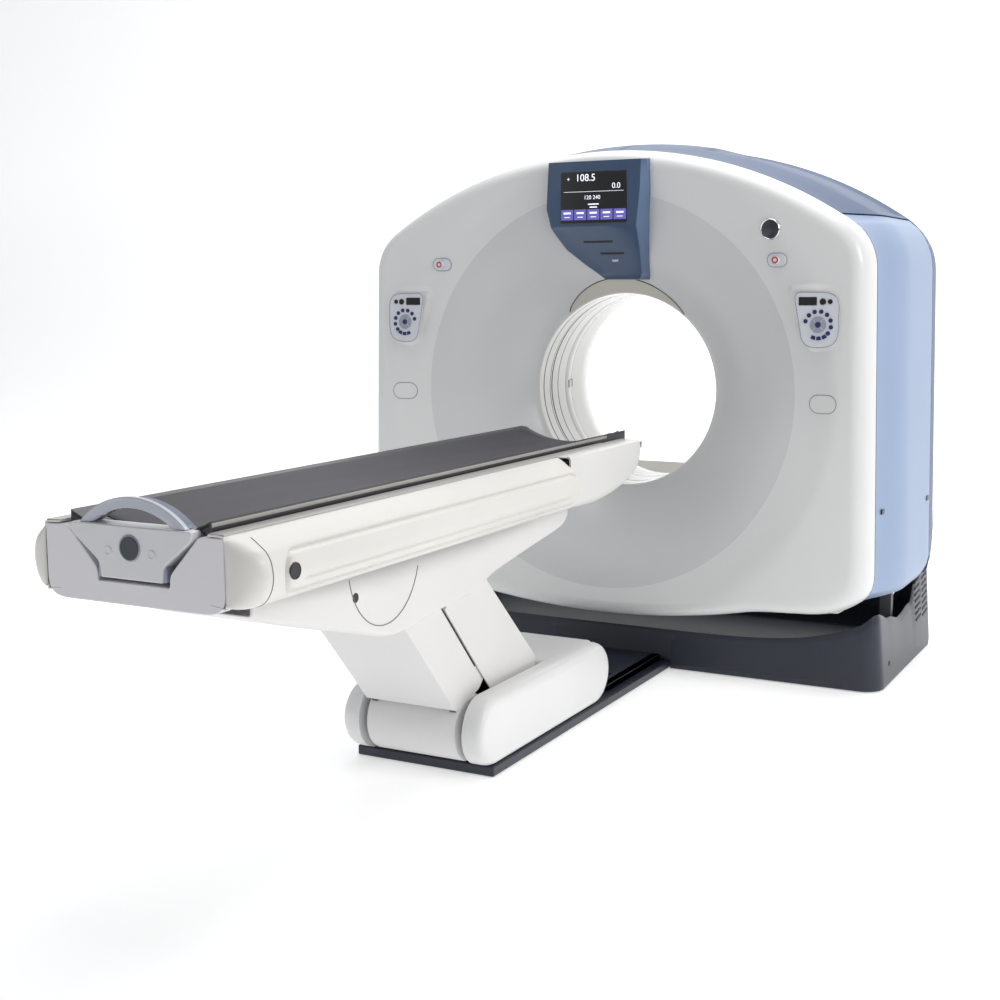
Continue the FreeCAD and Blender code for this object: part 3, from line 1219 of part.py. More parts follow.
doc.recompute()
for item in doc.Objects:
    if "Invalid" in item.State or "Error" in item.State:
        raise RuntimeError(f"{item.Name} does not compute: {item.State}")
os.makedirs("parts", exist_ok=True)
for item in NODES:
    if item.Shape.isNull() or not item.Shape.isValid():
        raise RuntimeError(item.Label + " has no valid shape")
for item in NODES:
    item.Shape.exportStep(f"parts/{item.Label}.step")
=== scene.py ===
import json
import math

import bmesh
import bpy
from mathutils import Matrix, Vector


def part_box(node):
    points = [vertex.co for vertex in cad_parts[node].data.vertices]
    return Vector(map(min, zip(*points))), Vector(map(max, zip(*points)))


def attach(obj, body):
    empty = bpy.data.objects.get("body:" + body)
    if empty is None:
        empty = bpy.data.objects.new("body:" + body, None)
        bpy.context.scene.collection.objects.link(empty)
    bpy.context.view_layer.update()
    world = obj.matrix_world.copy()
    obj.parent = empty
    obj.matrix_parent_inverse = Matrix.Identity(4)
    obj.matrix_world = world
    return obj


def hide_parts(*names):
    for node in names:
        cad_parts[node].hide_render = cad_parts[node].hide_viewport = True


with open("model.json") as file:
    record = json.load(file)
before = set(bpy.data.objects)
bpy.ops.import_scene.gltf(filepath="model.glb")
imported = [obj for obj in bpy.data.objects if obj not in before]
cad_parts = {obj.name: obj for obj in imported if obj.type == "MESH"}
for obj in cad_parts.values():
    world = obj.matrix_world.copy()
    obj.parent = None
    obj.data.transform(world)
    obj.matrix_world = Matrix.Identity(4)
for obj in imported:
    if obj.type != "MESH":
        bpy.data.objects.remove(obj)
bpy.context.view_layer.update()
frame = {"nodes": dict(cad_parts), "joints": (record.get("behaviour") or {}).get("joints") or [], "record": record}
JOINTS = {joint["name"]: joint for joint in frame["joints"]}
ISO_Z = JOINTS["gantry_tilt"]["pos_m"][2]
TOP_Y, TOP_Z = JOINTS["table_level"]["pos_m"][1:]
FOOT_Y, FOOT_Z = JOINTS["lift"]["pos_m"][1:]
HEAD_Y = JOINTS["rear_arm_swing"]["pos_m"][1]
ARM_ANGLE = math.atan2(TOP_Z - FOOT_Z, FOOT_Y - TOP_Y)
SIDES = (("left", -1), ("right", 1))


# ---- materials ----------------------------------------------------------------------------------

def surface(name, colour, rough=0.4, tone=0.04, cloud=3.0, grain=700.0, bump=0.04, metal=0.0, coat=0.0,
            stretch=(1, 1, 1), sheen=0.0, low_darkening=0.0):
    """A procedural finish: drifting tone, fine grain in the gloss and the surface, and darker towards the bottom
    where asked.
    """
    made = bpy.data.materials.new(name)
    made.use_nodes = True
    tree = made.node_tree
    shader = tree.nodes["Principled BSDF"]
    shader.inputs["Metallic"].default_value = metal
    shader.inputs["Coat Weight"].default_value = coat
    shader.inputs["Coat Roughness"].default_value = 0.12
    shader.inputs["Sheen Weight"].default_value = sheen
    link = tree.links.new
    where = tree.nodes.new("ShaderNodeTexCoord")
    spread = tree.nodes.new("ShaderNodeMapping")
    spread.inputs["Scale"].default_value = stretch
    link(where.outputs["Object"], spread.inputs["Vector"])
    clouds = tree.nodes.new("ShaderNodeTexNoise")
    clouds.inputs["Scale"].default_value = cloud
    clouds.inputs["Detail"].default_value = 5.0
    link(spread.outputs["Vector"], clouds.inputs["Vector"])
    fine = tree.nodes.new("ShaderNodeTexNoise")
    fine.inputs["Scale"].default_value = grain
    fine.inputs["Detail"].default_value = 2.0
    link(spread.outputs["Vector"], fine.inputs["Vector"])
    ramp = tree.nodes.new("ShaderNodeValToRGB")
    ramp.color_ramp.elements[0].position = 0.3
    ramp.color_ramp.elements[1].position = 0.7
    ramp.color_ramp.elements[0].color = [c * (1 - tone) for c in colour] + [1]
    ramp.color_ramp.elements[1].color = [min(1, c * (1 + tone)) for c in colour] + [1]
    link(clouds.outputs["Fac"], ramp.inputs["Fac"])
    paint = ramp.outputs["Color"]
    # Colour darkened towards the bottom: below 0.16 m up it is mixed towards a darker copy of itself.
    if low_darkening:
        low_darken_mix = tree.nodes.new("ShaderNodeMix")
        low_darken_mix.data_type = "RGBA"
        low_darken_mix.inputs[7].default_value = [c * 0.62 for c in colour] + [1]
        low = tree.nodes.new("ShaderNodeSeparateXYZ")
        link(where.outputs["Object"], low.inputs["Vector"])
        fall = tree.nodes.new("ShaderNodeMapRange")
        fall.inputs["From Min"].default_value = 0.16
        fall.inputs["From Max"].default_value = 0.0
        fall.inputs["To Max"].default_value = low_darkening
        link(low.outputs["Z"], fall.inputs["Value"])
        link(fall.outputs["Result"], low_darken_mix.inputs[0])
        link(paint, low_darken_mix.inputs[6])
        paint = low_darken_mix.outputs[2]
    link(paint, shader.inputs["Base Color"])
    gloss = tree.nodes.new("ShaderNodeMapRange")
    gloss.inputs["To Min"].default_value = max(0.02, rough - 0.07)
    gloss.inputs["To Max"].default_value = rough + 0.07
    link(fine.outputs["Fac"], gloss.inputs["Value"])
    link(gloss.outputs["Result"], shader.inputs["Roughness"])
    relief = tree.nodes.new("ShaderNodeBump")
    relief.inputs["Strength"].default_value = bump
    relief.inputs["Distance"].default_value = 0.0006
    link(fine.outputs["Fac"], relief.inputs["Height"])
    link(relief.outputs["Normal"], shader.inputs["Normal"])
    return made


def carbon(name, dark, light):
    """Woven carbon under a satin lacquer, as two crossed waves."""
    made = surface(name, dark, rough=0.34, tone=0.05, coat=0.25, bump=0.05)
    tree = made.node_tree
    shader = tree.nodes["Principled BSDF"]
    where = tree.nodes["Texture Coordinate"]
    bands = []
    for direction in ("X", "Y"):
        wave = tree.nodes.new("ShaderNodeTexWave")
        wave.bands_direction = direction
        wave.inputs["Scale"].default_value = 120.0
        wave.inputs["Distortion"].default_value = 0.6
        tree.links.new(where.outputs["Object"], wave.inputs["Vector"])
        bands.append(wave)
    both = tree.nodes.new("ShaderNodeMath")
    both.operation = "MULTIPLY"
    for index, wave in enumerate(bands):
        tree.links.new(wave.outputs["Fac"], both.inputs[index])
    weave = tree.nodes.new("ShaderNodeMix")
    weave.data_type = "RGBA"
    weave.inputs[6].default_value = list(dark) + [1]
    weave.inputs[7].default_value = list(light) + [1]
    tree.links.new(both.outputs["Value"], weave.inputs[0])
    tree.links.new(weave.outputs[2], shader.inputs["Base Color"])
    return made


def clear(name, colour, rough, share):
    """Moulded clear plastic with a faint milky tone."""
    made = surface(name, colour, rough=rough, tone=0.02, bump=0.02, coat=0.4)
    shader = made.node_tree.nodes["Principled BSDF"]
    shader.inputs["Transmission Weight"].default_value = share
    shader.inputs["IOR"].default_value = 1.46
    return made


def glowing(made, colour, strength):
    """Let a finish give some light of its own."""
    shader = made.node_tree.nodes["Principled BSDF"]
    shader.inputs["Emission Color"].default_value = (*colour, 1.0)
    shader.inputs["Emission Strength"].default_value = strength
    return made


WHITE = surface("white_shell", (0.74, 0.735, 0.715), rough=0.36, tone=0.018, coat=0.12)
FACE = surface("gantry_face", (0.72, 0.725, 0.72), rough=0.33, tone=0.018, cloud=1.6, coat=0.16)
CREAM = surface("table_shell", (0.73, 0.715, 0.68), rough=0.38, tone=0.02, coat=0.1)
LIFT = surface("lift_shell", (0.77, 0.76, 0.755), rough=0.42, tone=0.015)
BASE_WHITE = surface("base_shell", (0.8, 0.8, 0.8), rough=0.35, tone=0.015, coat=0.12, low_darkening=0.12)
BLUE_SIDE = surface("side_blue", (0.25, 0.34, 0.51), rough=0.4, tone=0.03, coat=0.06)
BLUE_TOP = surface("roof_blue", (0.055, 0.095, 0.185), rough=0.48, tone=0.05, coat=0.03)
SLATE = surface("bezel_slate", (0.042, 0.078, 0.15), rough=0.33, tone=0.05, coat=0.25)
NAVY = surface("base_navy", (0.016, 0.021, 0.036), rough=0.42, tone=0.08, coat=0.12, low_darkening=0.25)
PEDAL = surface("pedal_grey", (0.06, 0.08, 0.12), rough=0.5, tone=0.08, grain=1500, bump=0.12)
# Near-black for dark joints, holes, slots and glass; also used for painted shade in the bore's grooves and painted
# shadow along the arm's step.
SEAM_AND_SHADE = surface("seam_and_shade_dark", (0.035, 0.036, 0.04), rough=0.7, tone=0.1)
# Grey lines along seams and cap edges: painted shade lines in the gaps.
SHADE_LINE = surface("shade_line_grey", (0.22, 0.22, 0.215), rough=0.6, tone=0.06)
# A darker copy of the face colour for the dished middle: painted shade of the concave dish.
DISH_SHADE = surface("dish_shade_grey", (0.625, 0.63, 0.635), rough=0.34, tone=0.02, cloud=1.6, coat=0.14)
LINER = surface("liner_white", (0.78, 0.775, 0.75), rough=0.25, tone=0.02, coat=0.3)
FILM = surface("window_film", (0.62, 0.615, 0.6), rough=0.16, tone=0.03, coat=0.5)
LIP = surface("lip_beige", (0.56, 0.55, 0.49), rough=0.4, tone=0.03)
STEEL = surface("brushed_steel", (0.55, 0.55, 0.56), rough=0.3, tone=0.06, metal=1.0, stretch=(1, 9, 1))
CHROME = surface("bright_rim", (0.8, 0.8, 0.82), rough=0.12, tone=0.03, metal=1.0)
FRAME = surface("frame_paint", (0.085, 0.09, 0.10), rough=0.5, tone=0.08, grain=400, bump=0.12)
MOTOR = surface("motor_paint", (0.12, 0.13, 0.15), rough=0.5, tone=0.1, grain=300, bump=0.15)
BRASS = surface("ring_brass", (0.6, 0.42, 0.2), rough=0.28, tone=0.08, metal=1.0)
ALLOY = surface("module_alloy", (0.62, 0.63, 0.65), rough=0.38, tone=0.05, metal=1.0)
RUBBER = surface("wheel_rubber", (0.02, 0.02, 0.022), rough=0.75, tone=0.15, grain=900, bump=0.2)
RED = surface("stop_red", (0.5, 0.03, 0.03), rough=0.3, tone=0.05, coat=0.3)
KEY = surface("key_navy", (0.015, 0.02, 0.12), rough=0.35, tone=0.08, coat=0.2)
BADGE = surface("badge_dark", (0.022, 0.028, 0.036), rough=0.3, tone=0.2, coat=0.3)
BLACK = surface("gloss_black", (0.008, 0.008, 0.01), rough=0.14, tone=0.1, coat=0.4)
PANEL = surface("panel_film", (0.66, 0.68, 0.72), rough=0.3, tone=0.02, coat=0.2)
PANEL_GREY = surface("dial_grey", (0.3, 0.33, 0.4), rough=0.35, tone=0.04)
EDGE_TRIM = surface("rail_trim", (0.42, 0.41, 0.39), rough=0.3, tone=0.05, coat=0.2)
MAT = surface("mat_vinyl", (0.026, 0.024, 0.033), rough=0.56, tone=0.09, cloud=5.0, grain=1400, bump=0.18)
CARBON = carbon("cradle_carbon", (0.028, 0.027, 0.032), (0.050, 0.048, 0.056))
HANDLE = clear("handle_clear", (0.72, 0.76, 0.84), 0.14, 0.35)


# ---- mesh helpers -------------------------------------------------------------------------------

def add_mesh(name, points, faces, material, crease=35.0):
    """A mesh object with consistent normals, smooth except over sharp edges."""
    data = bpy.data.meshes.new(name)
    data.from_pydata([tuple(point) for point in points], [], faces)
    work = bmesh.new()
    work.from_mesh(data)
    bmesh.ops.remove_doubles(work, verts=work.verts, dist=1e-6)
    bmesh.ops.recalc_face_normals(work, faces=work.faces)
    work.to_mesh(data)
    work.free()
    data.shade_smooth()
    data.set_sharp_from_angle(angle=math.radians(crease))
    made = bpy.data.objects.new(name, data)
    bpy.context.scene.collection.objects.link(made)
    data.materials.append(material)
    return made


def finish_piece(made, body, slot, *nodes):
    """Say which body a piece rides on and the CAD nodes that it stands for; the finish slot is not used."""
    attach(made, body)
    if nodes:
        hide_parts(*nodes)
    return made


def grid(name, rows, material, ring=False, crease=35.0):
    """Rows of points skinned with quads; a ring joins each row's two ends."""
    wide = len(rows[0])
    points = [point for row in rows for point in row]
    faces = []
    for row in range(len(rows) - 1):
        for column in range(wide if ring else wide - 1):
            following = (column + 1) % wide
            faces.append((row * wide + column, row * wide + following,
                          (row + 1) * wide + following, (row + 1) * wide + column))
    return add_mesh(name, points, faces, material, crease)


def capped(name, rows, material, crease=35.0):
    """Closed rows skinned with quads, with both ends filled."""
    wide = len(rows[0])
    made = grid(name, rows, material, True, crease)
    work = bmesh.new()
    work.from_mesh(made.data)
    bmesh.ops.holes_fill(work, edges=[edge for edge in work.edges if edge.is_boundary], sides=wide)
    bmesh.ops.recalc_face_normals(work, faces=work.faces)
    work.to_mesh(made.data)
    work.free()
    made.data.shade_smooth()
    made.data.set_sharp_from_angle(angle=math.radians(crease))
    return made


def without(made, unwanted):
    """Take away the faces that a test picks out."""
    work = bmesh.new()
    work.from_mesh(made.data)
    bmesh.ops.delete(work, geom=[face for face in work.faces if unwanted(face)], context="FACES")
    work.to_mesh(made.data)
    work.free()
    return made


def bevelled(made, width, segments=3, angle=32.0):
    """Round a piece's sharp edges."""
    modifier = made.modifiers.new("round", "BEVEL")
    modifier.width = width
    modifier.segments = segments
    modifier.limit_method = "ANGLE"
    modifier.angle_limit = math.radians(angle)
    modifier.harden_normals = True
    return made


def thick(made, depth, offset=-1.0):
    """Give a skin its wall."""
    modifier = made.modifiers.new("wall", "SOLIDIFY")
    modifier.thickness = depth
    modifier.offset = offset
    modifier.use_even_offset = True
    return made


def rounded(points, radius, steps=5):
    """A 2-D outline with its corners rounded."""
    result = []
    count = len(points)
    for index, here in enumerate(points):
        here = Vector(here)
        before, after = Vector(points[index - 1]), Vector(points[(index + 1) % count])
        size = radius[index] if isinstance(radius, (list, tuple)) else radius
        reach_in = min(size, (before - here).length * 0.45)
        reach_out = min(size, (after - here).length * 0.45)
        start = here + (before - here).normalized() * reach_in
        end = here + (after - here).normalized() * reach_out
        if size <= 0:
            result.append(tuple(here))
            continue
        for step in range(steps + 1):
            share = step / steps
            point = start * (1 - share) ** 2 + here * 2 * share * (1 - share) + end * share ** 2
            result.append(tuple(point))
    return result


def box_outline(x0, x1, y0, y1, radius=0.0, steps=5):
    """A rectangle's outline, with its corners rounded where a radius is given."""
    corners = [(x0, y0), (x1, y0), (x1, y1), (x0, y1)]
    return rounded(corners, radius, steps) if radius else corners


def plate(name, outline, low, high, material, plane="xz", edge=0.0, segments=3, holes=()):
    """A 2-D outline raised between two depths of the third axis, with rounded edges."""
    def at(first, second, depth):
        if plane == "xz":
            return first, depth, second
        if plane == "yz":
            return depth, first, second
        return first, second, depth

    count = len(outline)
    points = [at(a, b, low) for a, b in outline] + [at(a, b, high) for a, b in outline]
    faces = [tuple(range(count)), tuple(range(2 * count - 1, count - 1, -1))]
    for index in range(count):
        following = (index + 1) % count
        faces.append((index, following, count + following, count + index))
    made = add_mesh(name, points, faces, material, 30.0)
    if edge:
        bevelled(made, edge, segments)
    return made


def lathe(name, profile, material, centre, axis="y", turns=(0.0, 360.0), steps=144, crease=30.0):
    """(depth, radius) points turned about an axis."""
    whole = abs(turns[1] - turns[0]) >= 360.0
    count = steps if whole else steps + 1
    rows = []
    for depth, radius in profile:
        row = []
        for step in range(count):
            angle = math.radians(turns[0] + (turns[1] - turns[0]) * step / steps)
            across, up = radius * math.cos(angle), radius * math.sin(angle)
            if axis == "y":
                row.append((centre[0] + across, centre[1] + depth, centre[2] + up))
            elif axis == "x":
                row.append((centre[0] + depth, centre[1] + across, centre[2] + up))
            else:
                row.append((centre[0] + across, centre[1] + up, centre[2] + depth))
        rows.append(row)
    return grid(name, rows, material, whole, crease)


def stadium(half_long, half_high, steps=8, centre=(0.0, 0.0)):
    """A slot outline with round ends along its first axis."""
    points = []
    run = half_long - half_high
    for side, start in ((1, -90), (-1, 90)):
        for step in range(steps + 1):
            angle = math.radians(start + 180 * step / steps)
            points.append((centre[0] + side * run + half_high * math.cos(angle),
                           centre[1] + half_high * math.sin(angle)))
    return points


def circle(radius, centre=(0.0, 0.0), steps=32):
    """Points round a circle."""
    return [(centre[0] + radius * math.cos(2 * math.pi * step / steps),
             centre[1] + radius * math.sin(2 * math.pi * step / steps)) for step in range(steps)]


def strand(name, points, radius, material, cyclic=False):
    """A thin round line through points, for seams and rims."""
    data = bpy.data.curves.new(name, "CURVE")
    data.dimensions = "3D"
    data.bevel_depth = radius
    data.bevel_resolution = 2
    spline = data.splines.new("POLY")
    spline.points.add(len(points) - 1)
    for point, place in zip(spline.points, points):
        point.co = (*place, 1.0)
    spline.use_cyclic_u = cyclic
    made = bpy.data.objects.new(name, data)
    bpy.context.scene.collection.objects.link(made)
    data.materials.append(material)
    return made


def sided(made, side, y, z):
    """Put a fitting made for the right side at its place on either side."""
    for vertex in made.data.vertices:
        vertex.co = (side * vertex.co.x, vertex.co.y + y, vertex.co.z + z)
    return made


def smoothstep(value):
    """0 to 1 with flat ends."""
    value = min(1.0, max(0.0, value))
    return value * value * (3 - 2 * value)


# ---- gantry covers ------------------------------------------------------------------------------

FACE_Y, SEAM_Y, REAR_SEAM, REAR_Y = -0.120, 0.0, 0.640, 0.830
DISH_R, THROAT_R, THROAT_Y = 0.700, 0.353, 0.122
BAND_R, BAND_DEEP = 0.850, 0.030
ANGLES = [360.0 * step / 288 for step in range(288)]


def half_outline(grow):
    """The covers' right half from the apex round to the middle of the waved bottom."""
    arc, corner, top = 1.524 + grow, 0.190 + grow, 1.840 + grow
    slope = math.atan(0.023)
    across, up = math.cos(slope), math.sin(slope)
    middle = top - arc
    reach = 0.942 * across + 1.237 * up + grow - corner - middle * up
    rise = math.sqrt((arc - corner) ** 2 - reach ** 2)
    centre = (reach * across - rise * up, middle + reach * up + rise * across)
    turn = math.atan2(centre[1] - middle, centre[0])
    points = [(arc * math.cos(a), middle + arc * math.sin(a))
              for a in (math.pi / 2 + (turn - math.pi / 2) * s / 24 for s in range(25))]
    points += [(centre[0] + corner * math.cos(a), centre[1] + corner * math.sin(a))
               for a in (turn + (slope - turn) * s / 12 for s in range(1, 13))]
    hip = points[-1]
    cheek_z = 0.340 - grow
    cheek = (hip[0] + (hip[1] - cheek_z) * math.tan(slope), cheek_z)
    knee = (0.840 + grow / 2, 0.267 - grow)
    wave = (0.600, 0.257 - grow)
    low = 0.193 - grow
    soft = rounded([hip, cheek, knee, wave, (0, low)], [0, 0.07, 0.09, 0.05, 0], 6)
    points += soft[1:-1]
    tail = points[-1]
    points = points[:-1] + [(tail[0] * (1 - s / 12), low + (tail[1] - low) * (1 - s / 12) ** 2)
                            for s in range(13)]
    return points


def radii(grow):
    """The outline's distance from the bore's axis at each of ANGLES."""
    points = [(x, z - ISO_Z) for x, z in half_outline(grow)]
    result = []
    for angle in ANGLES:
        dx, dz = abs(math.cos(math.radians(angle))), math.sin(math.radians(angle))
        found = 0.8
        for (ax, az), (bx, bz) in zip(points, points[1:]):
            cross = dx * (bz - az) - dz * (bx - ax)
            if abs(cross) < 1e-12:
                continue
            share = (dz * ax - dx * az) / cross
            if -1e-6 <= share <= 1 + 1e-6:
                distance = (ax + (bx - ax) * share) * dx + (az + (bz - az) * share) * dz
                if distance > 0.3:
                    found = distance
                    break
        result.append(found)
    return result


def ring(y, distances):
    """A row of points about the bore's axis at a depth."""
    if not isinstance(distances, list):
        distances = [distances] * len(ANGLES)
    return [(r * math.cos(math.radians(a)), y, ISO_Z + r * math.sin(math.radians(a)))
            for a, r in zip(ANGLES, distances)]


def face_depth(radius):
    """How far back the front face lies at a distance from the bore's axis."""
    if radius >= DISH_R:
        share = max(0.0, (BAND_R - radius) / (BAND_R - DISH_R))
        return FACE_Y + BAND_DEEP * share * min(1.0, 0.55 + share)
    share = min(1.0, (DISH_R - radius) / (DISH_R - THROAT_R))
    start = FACE_Y + BAND_DEEP
    return start + (THROAT_Y - start) * (0.16 * share + 0.84 * share ** 2.3)


def drape(made):
    """Let a flat fitting follow the front face."""
    for vertex in made.data.vertices:
        vertex.co.y += face_depth(math.hypot(vertex.co.x, vertex.co.z - ISO_Z)) - FACE_Y
    return made


def between(low, high, steps):
    """Evenly spaced numbers, both ends included."""
    return [low + (high - low) * step / steps for step in range(steps + 1)]


def front_cover():
    """Dished face, rounded rim and its return, as one moulding."""
    rows = [ring(THROAT_Y + 0.006, THROAT_R - 0.002)]
    rows += [ring(face_depth(r), r) for r in between(THROAT_R, DISH_R, 26)]
    rim = radii(-0.058)
    for share in between(0.03, 0.97, 16):
        reach = [DISH_R + (edge - DISH_R) * share for edge in rim]
        rows.append([(x, face_depth(r), z) for (x, _, z), r in zip(ring(0.0, reach), reach)])
    base = [face_depth(edge) for edge in rim]
    for depth, grow in ((0.0, -0.056), (0.0012, -0.046), (0.005, -0.036), (0.012, -0.026), (0.023, -0.017),
                        (0.038, -0.010), (0.06, -0.005), (0.09, -0.001), (0.117, 0.0), (0.119, -0.003),
                        (0.119, -0.009)):
        row = ring(0.0, radii(grow))
        rows.append([(x, start + (-0.001 - start) * depth / 0.119, z) for (x, _, z), start in zip(row, base)])
    made = grid("front_cover_skin", rows, FACE, True, 50)
    made.data.materials.append(DISH_SHADE)
    # Faces inside the dish rim take the darker grey: painted shade of the dish.
    for face in made.data.polygons:
        if math.hypot(face.center.x, face.center.z - ISO_Z) < DISH_R and face.center.y < 0.13:
            face.material_index = 1
    finish_piece(made, "gantry", "cover_white", "front_cover")


def bore():
    """Banded mouth, sleeve, scan window and the rear funnel."""
    mouth = [(0.0, 0.354), (0.004, 0.349), (0.03, 0.3475), (0.0335, 0.353), (0.0365, 0.353), (0.040, 0.3485),
             (0.082, 0.3465), (0.0855, 0.352), (0.0885, 0.352), (0.092, 0.3485), (0.099, 0.3485),
             (0.102, 0.352), (0.105, 0.352), (0.108, 0.348), (0.150, 0.3465), (0.1535, 0.351),
             (0.157, 0.351), (0.160, 0.348), (0.218, 0.348), (0.218, 0.353)]
    sleeve = lathe("bore_sleeve", mouth, LINER, (0, THROAT_Y, ISO_Z), steps=160, crease=22)
    finish_piece(sleeve, "gantry", "bore_liner", "bore_liner_front")
    # Dark strips over the mouth's grooves: painted shade in the grooves.
    for index, depth in enumerate((0.035, 0.087, 0.1035, 0.155)):
        shade_strip = lathe(f"bore_groove_shade_{index}", [(depth - 0.0030, 0.3488), (depth + 0.0030, 0.3488)], SEAM_AND_SHADE,
                       (0, THROAT_Y, ISO_Z), steps=160)
        finish_piece(shade_strip, "gantry", "bore_liner")
    film = [(0.0, 0.3495), (0.002, 0.3485), (0.058, 0.3485), (0.060, 0.3495)]
    window = lathe("scan_window_film", film, FILM, (0, 0.340, ISO_Z), steps=160)
    finish_piece(window, "gantry", "window_film", "scan_window")
    for side in (-1, 1):
        shape = box_outline(0.375, 0.397, ISO_Z - 0.018, ISO_Z + 0.012, 0.004)
        port = plate(f"laser_port_{side + 1}", shape, side * 0.3487, side * 0.3445, WHITE, "yz", 0.001)
        finish_piece(port, "gantry", "window_film")
        shape = box_outline(0.398, 0.402, ISO_Z - 0.016, ISO_Z + 0.014, 0.002)
        glass = plate(f"laser_glass_{side + 1}", shape, side * 0.3487, side * 0.3446, SEAM_AND_SHADE, "yz", 0.0005)
        finish_piece(glass, "gantry", "window_film")
    rear = lathe("rear_sleeve", [(0.0, 0.352), (0.002, 0.3495), (0.088, 0.3495), (0.090, 0.352)], LINER,
                 (0, 0.400, ISO_Z), steps=160)
    finish_piece(rear, "gantry", "bore_liner", "bore_liner_rear")


def under_limit(y, low, radius, end):
    """The lowest height of the rounded rear underside at a depth."""
    run = y - (end - radius)
    if run <= 0:
        return low
    return low + radius - math.sqrt(max(0.0, radius ** 2 - min(run, radius) ** 2))


def rear_cover():
    """The funnel, the flat back and its edge, with the underside rounded up to the back."""
    def raised(row, y):
        floor = under_limit(y, 0.250, 0.400, REAR_Y)
        return [(x, yy, max(z, floor)) for x, yy, z in row]

    rows = []
    for share in between(0.0, 1.0, 18):
        radius = 0.3515 + (0.520 - 0.3515) * share ** 1.9
        depth = 0.490 + (REAR_Y - 0.004 - 0.490) * share
        rows.append(raised(ring(depth, radius), depth))
    rows.append(raised(ring(REAR_Y, 0.530), REAR_Y))
    rim = radii(0.0)
    for share in (0.2, 0.5, 0.8):
        rows.append(raised(ring(REAR_Y, [0.530 + max(0.0, edge - 0.530) * share for edge in rim]), REAR_Y))
    for y, grow in ((0.8295, 0.0), (0.827, 0.008), (0.820, 0.014), (0.808, 0.020), (0.785, 0.027),
                    (0.74, 0.034), (0.69, 0.040), (0.6425, 0.0445), (0.6415, 0.041), (0.6415, 0.030)):
        rows.append(raised(ring(y, radii(grow)), y))
    made = grid("rear_cover_skin", rows, BLUE_TOP, True, 50)
    made.data.materials.append(LINER)
    for face in made.data.polygons:
        if math.hypot(face.center.x, face.center.z - ISO_Z) < 0.519:
            face.material_index = 1
    finish_piece(made, "gantry", "cover_blue_dark", "rear_cover")


def outline_at(height, grow):
    """Half the covers' width at a height on the straight side or the corner."""
    points = half_outline(grow)
    for (ax, az), (bx, bz) in zip(points[4:], points[5:]):
        if az >= height > bz:
            return ax + (bx - ax) * (az - height) / (az - bz)
    return points[-20][0]


def wrap_grow(y):
    """How much the blue wrap widens towards the rear."""
    return 0.045 * math.sin(math.pi / 2 * min(1.0, max(0.0, y) / 0.30)) ** 1.3


def side_panels():
    """Blue side panels: leaning skins with a rounded rear foot and turned-in edges."""
    depths = [0.0035] + between(0.0055, REAR_SEAM - 0.004, 30) + [REAR_SEAM - 0.002]
    for name, side in SIDES:
        rows = []
        for index, y in enumerate(depths):
            low = 0.317 + (under_limit(y, 0.315, 0.350, 0.830) - 0.315 if y > 0.48 else 0.0)
            tuck = 0.010 if index in (0, len(depths) - 1) else 0.0
            row = []
            for height in between(low, 1.601, 42):
                lip = 0.003 if height in (low, 1.601) else 0.0
                row.append((side * (outline_at(height, wrap_grow(y) - tuck - lip)), y, height))
            rows.append(row)
        made = grid(f"side_panel_{name}_skin", rows, BLUE_SIDE, False, 40)
        thick(made, 0.003, -1.0)
        finish_piece(made, "gantry", "cover_blue_light", f"side_panel_{name}")
        for index, (y, z) in enumerate(((0.062, 0.618), (0.595, 0.598))):
            out = outline_at(z, wrap_grow(y))
            shape = box_outline(y - 0.018, y + 0.018, z - 0.009, z + 0.009, 0.005)
            latch = plate(f"latch_{name}_{index}", shape, side * (out - 0.006), side * (out + 0.0030), NAVY,
                          "yz", 0.0015)
            finish_piece(latch, "gantry", "cover_blue_light")


def roof_point(turn, y, grow):
    """A point on the roof's arc and corner: turn 0 is the crown and 1 the lower edge."""
    points = half_outline(grow)[:37]
    lengths = [0.0]
    for before, after in zip(points, points[1:]):
        lengths.append(lengths[-1] + math.dist(before, after))
    end = lengths[-1]
    for index, (x, z) in enumerate(points):
        if z < 1.604:
            before = points[index - 1]
            end = lengths[index - 1] + math.dist(before, (x, z)) * (before[1] - 1.604) / (before[1] - z)
            break
    want = end * turn
    for index in range(1, len(lengths)):
        if lengths[index] >= want:
            share = (want - lengths[index - 1]) / (lengths[index] - lengths[index - 1])
            (ax, az), (bx, bz) = points[index - 1], points[index]
            return ax + (bx - ax) * share, y, az + (bz - az) * share
    return points[-1][0], y, points[-1][1]


def roof_panels():
    """Darker roof panels with a sunk tray along each shoulder."""
    depths = [0.0035] + between(0.0055, REAR_SEAM - 0.004, 26) + [REAR_SEAM - 0.002]
    turns = [0.0] + between(0.004, 0.996, 60) + [1.0]
    for name, side in SIDES:
        rows = []
        for index, y in enumerate(depths):
            tuck = 0.010 if index in (0, len(depths) - 1) else 0.0
            row = []
            for place, turn in enumerate(turns):
                lip = 0.003 if place in (0, len(turns) - 1) else 0.0
                along = min(smoothstep((turn - 0.30) / 0.02), smoothstep((0.985 - turn) / 0.02))
                across = min(smoothstep((y - 0.13 - 0.10 * turn) / 0.012), smoothstep((0.60 - y) / 0.012))
                x, _, z = roof_point(turn, y, wrap_grow(y) - tuck - lip - 0.009 * along * across)
                row.append((side * max(0.0022, x), y, z))
            rows.append(row)
        made = grid(f"roof_panel_{name}_skin", rows, BLUE_TOP, False, 40)
        finish_piece(made, "gantry", "cover_blue_dark", f"top_panel_{name}")


front_cover()
bore()
rear_cover()
side_panels()
roof_panels()


# ---- gantry face fittings -----------------------------------------------------------------------

def on_face(x, z, proud):
    """A point that stands proud of the front face."""
    return x, face_depth(math.hypot(x, z - ISO_Z)) - proud, z


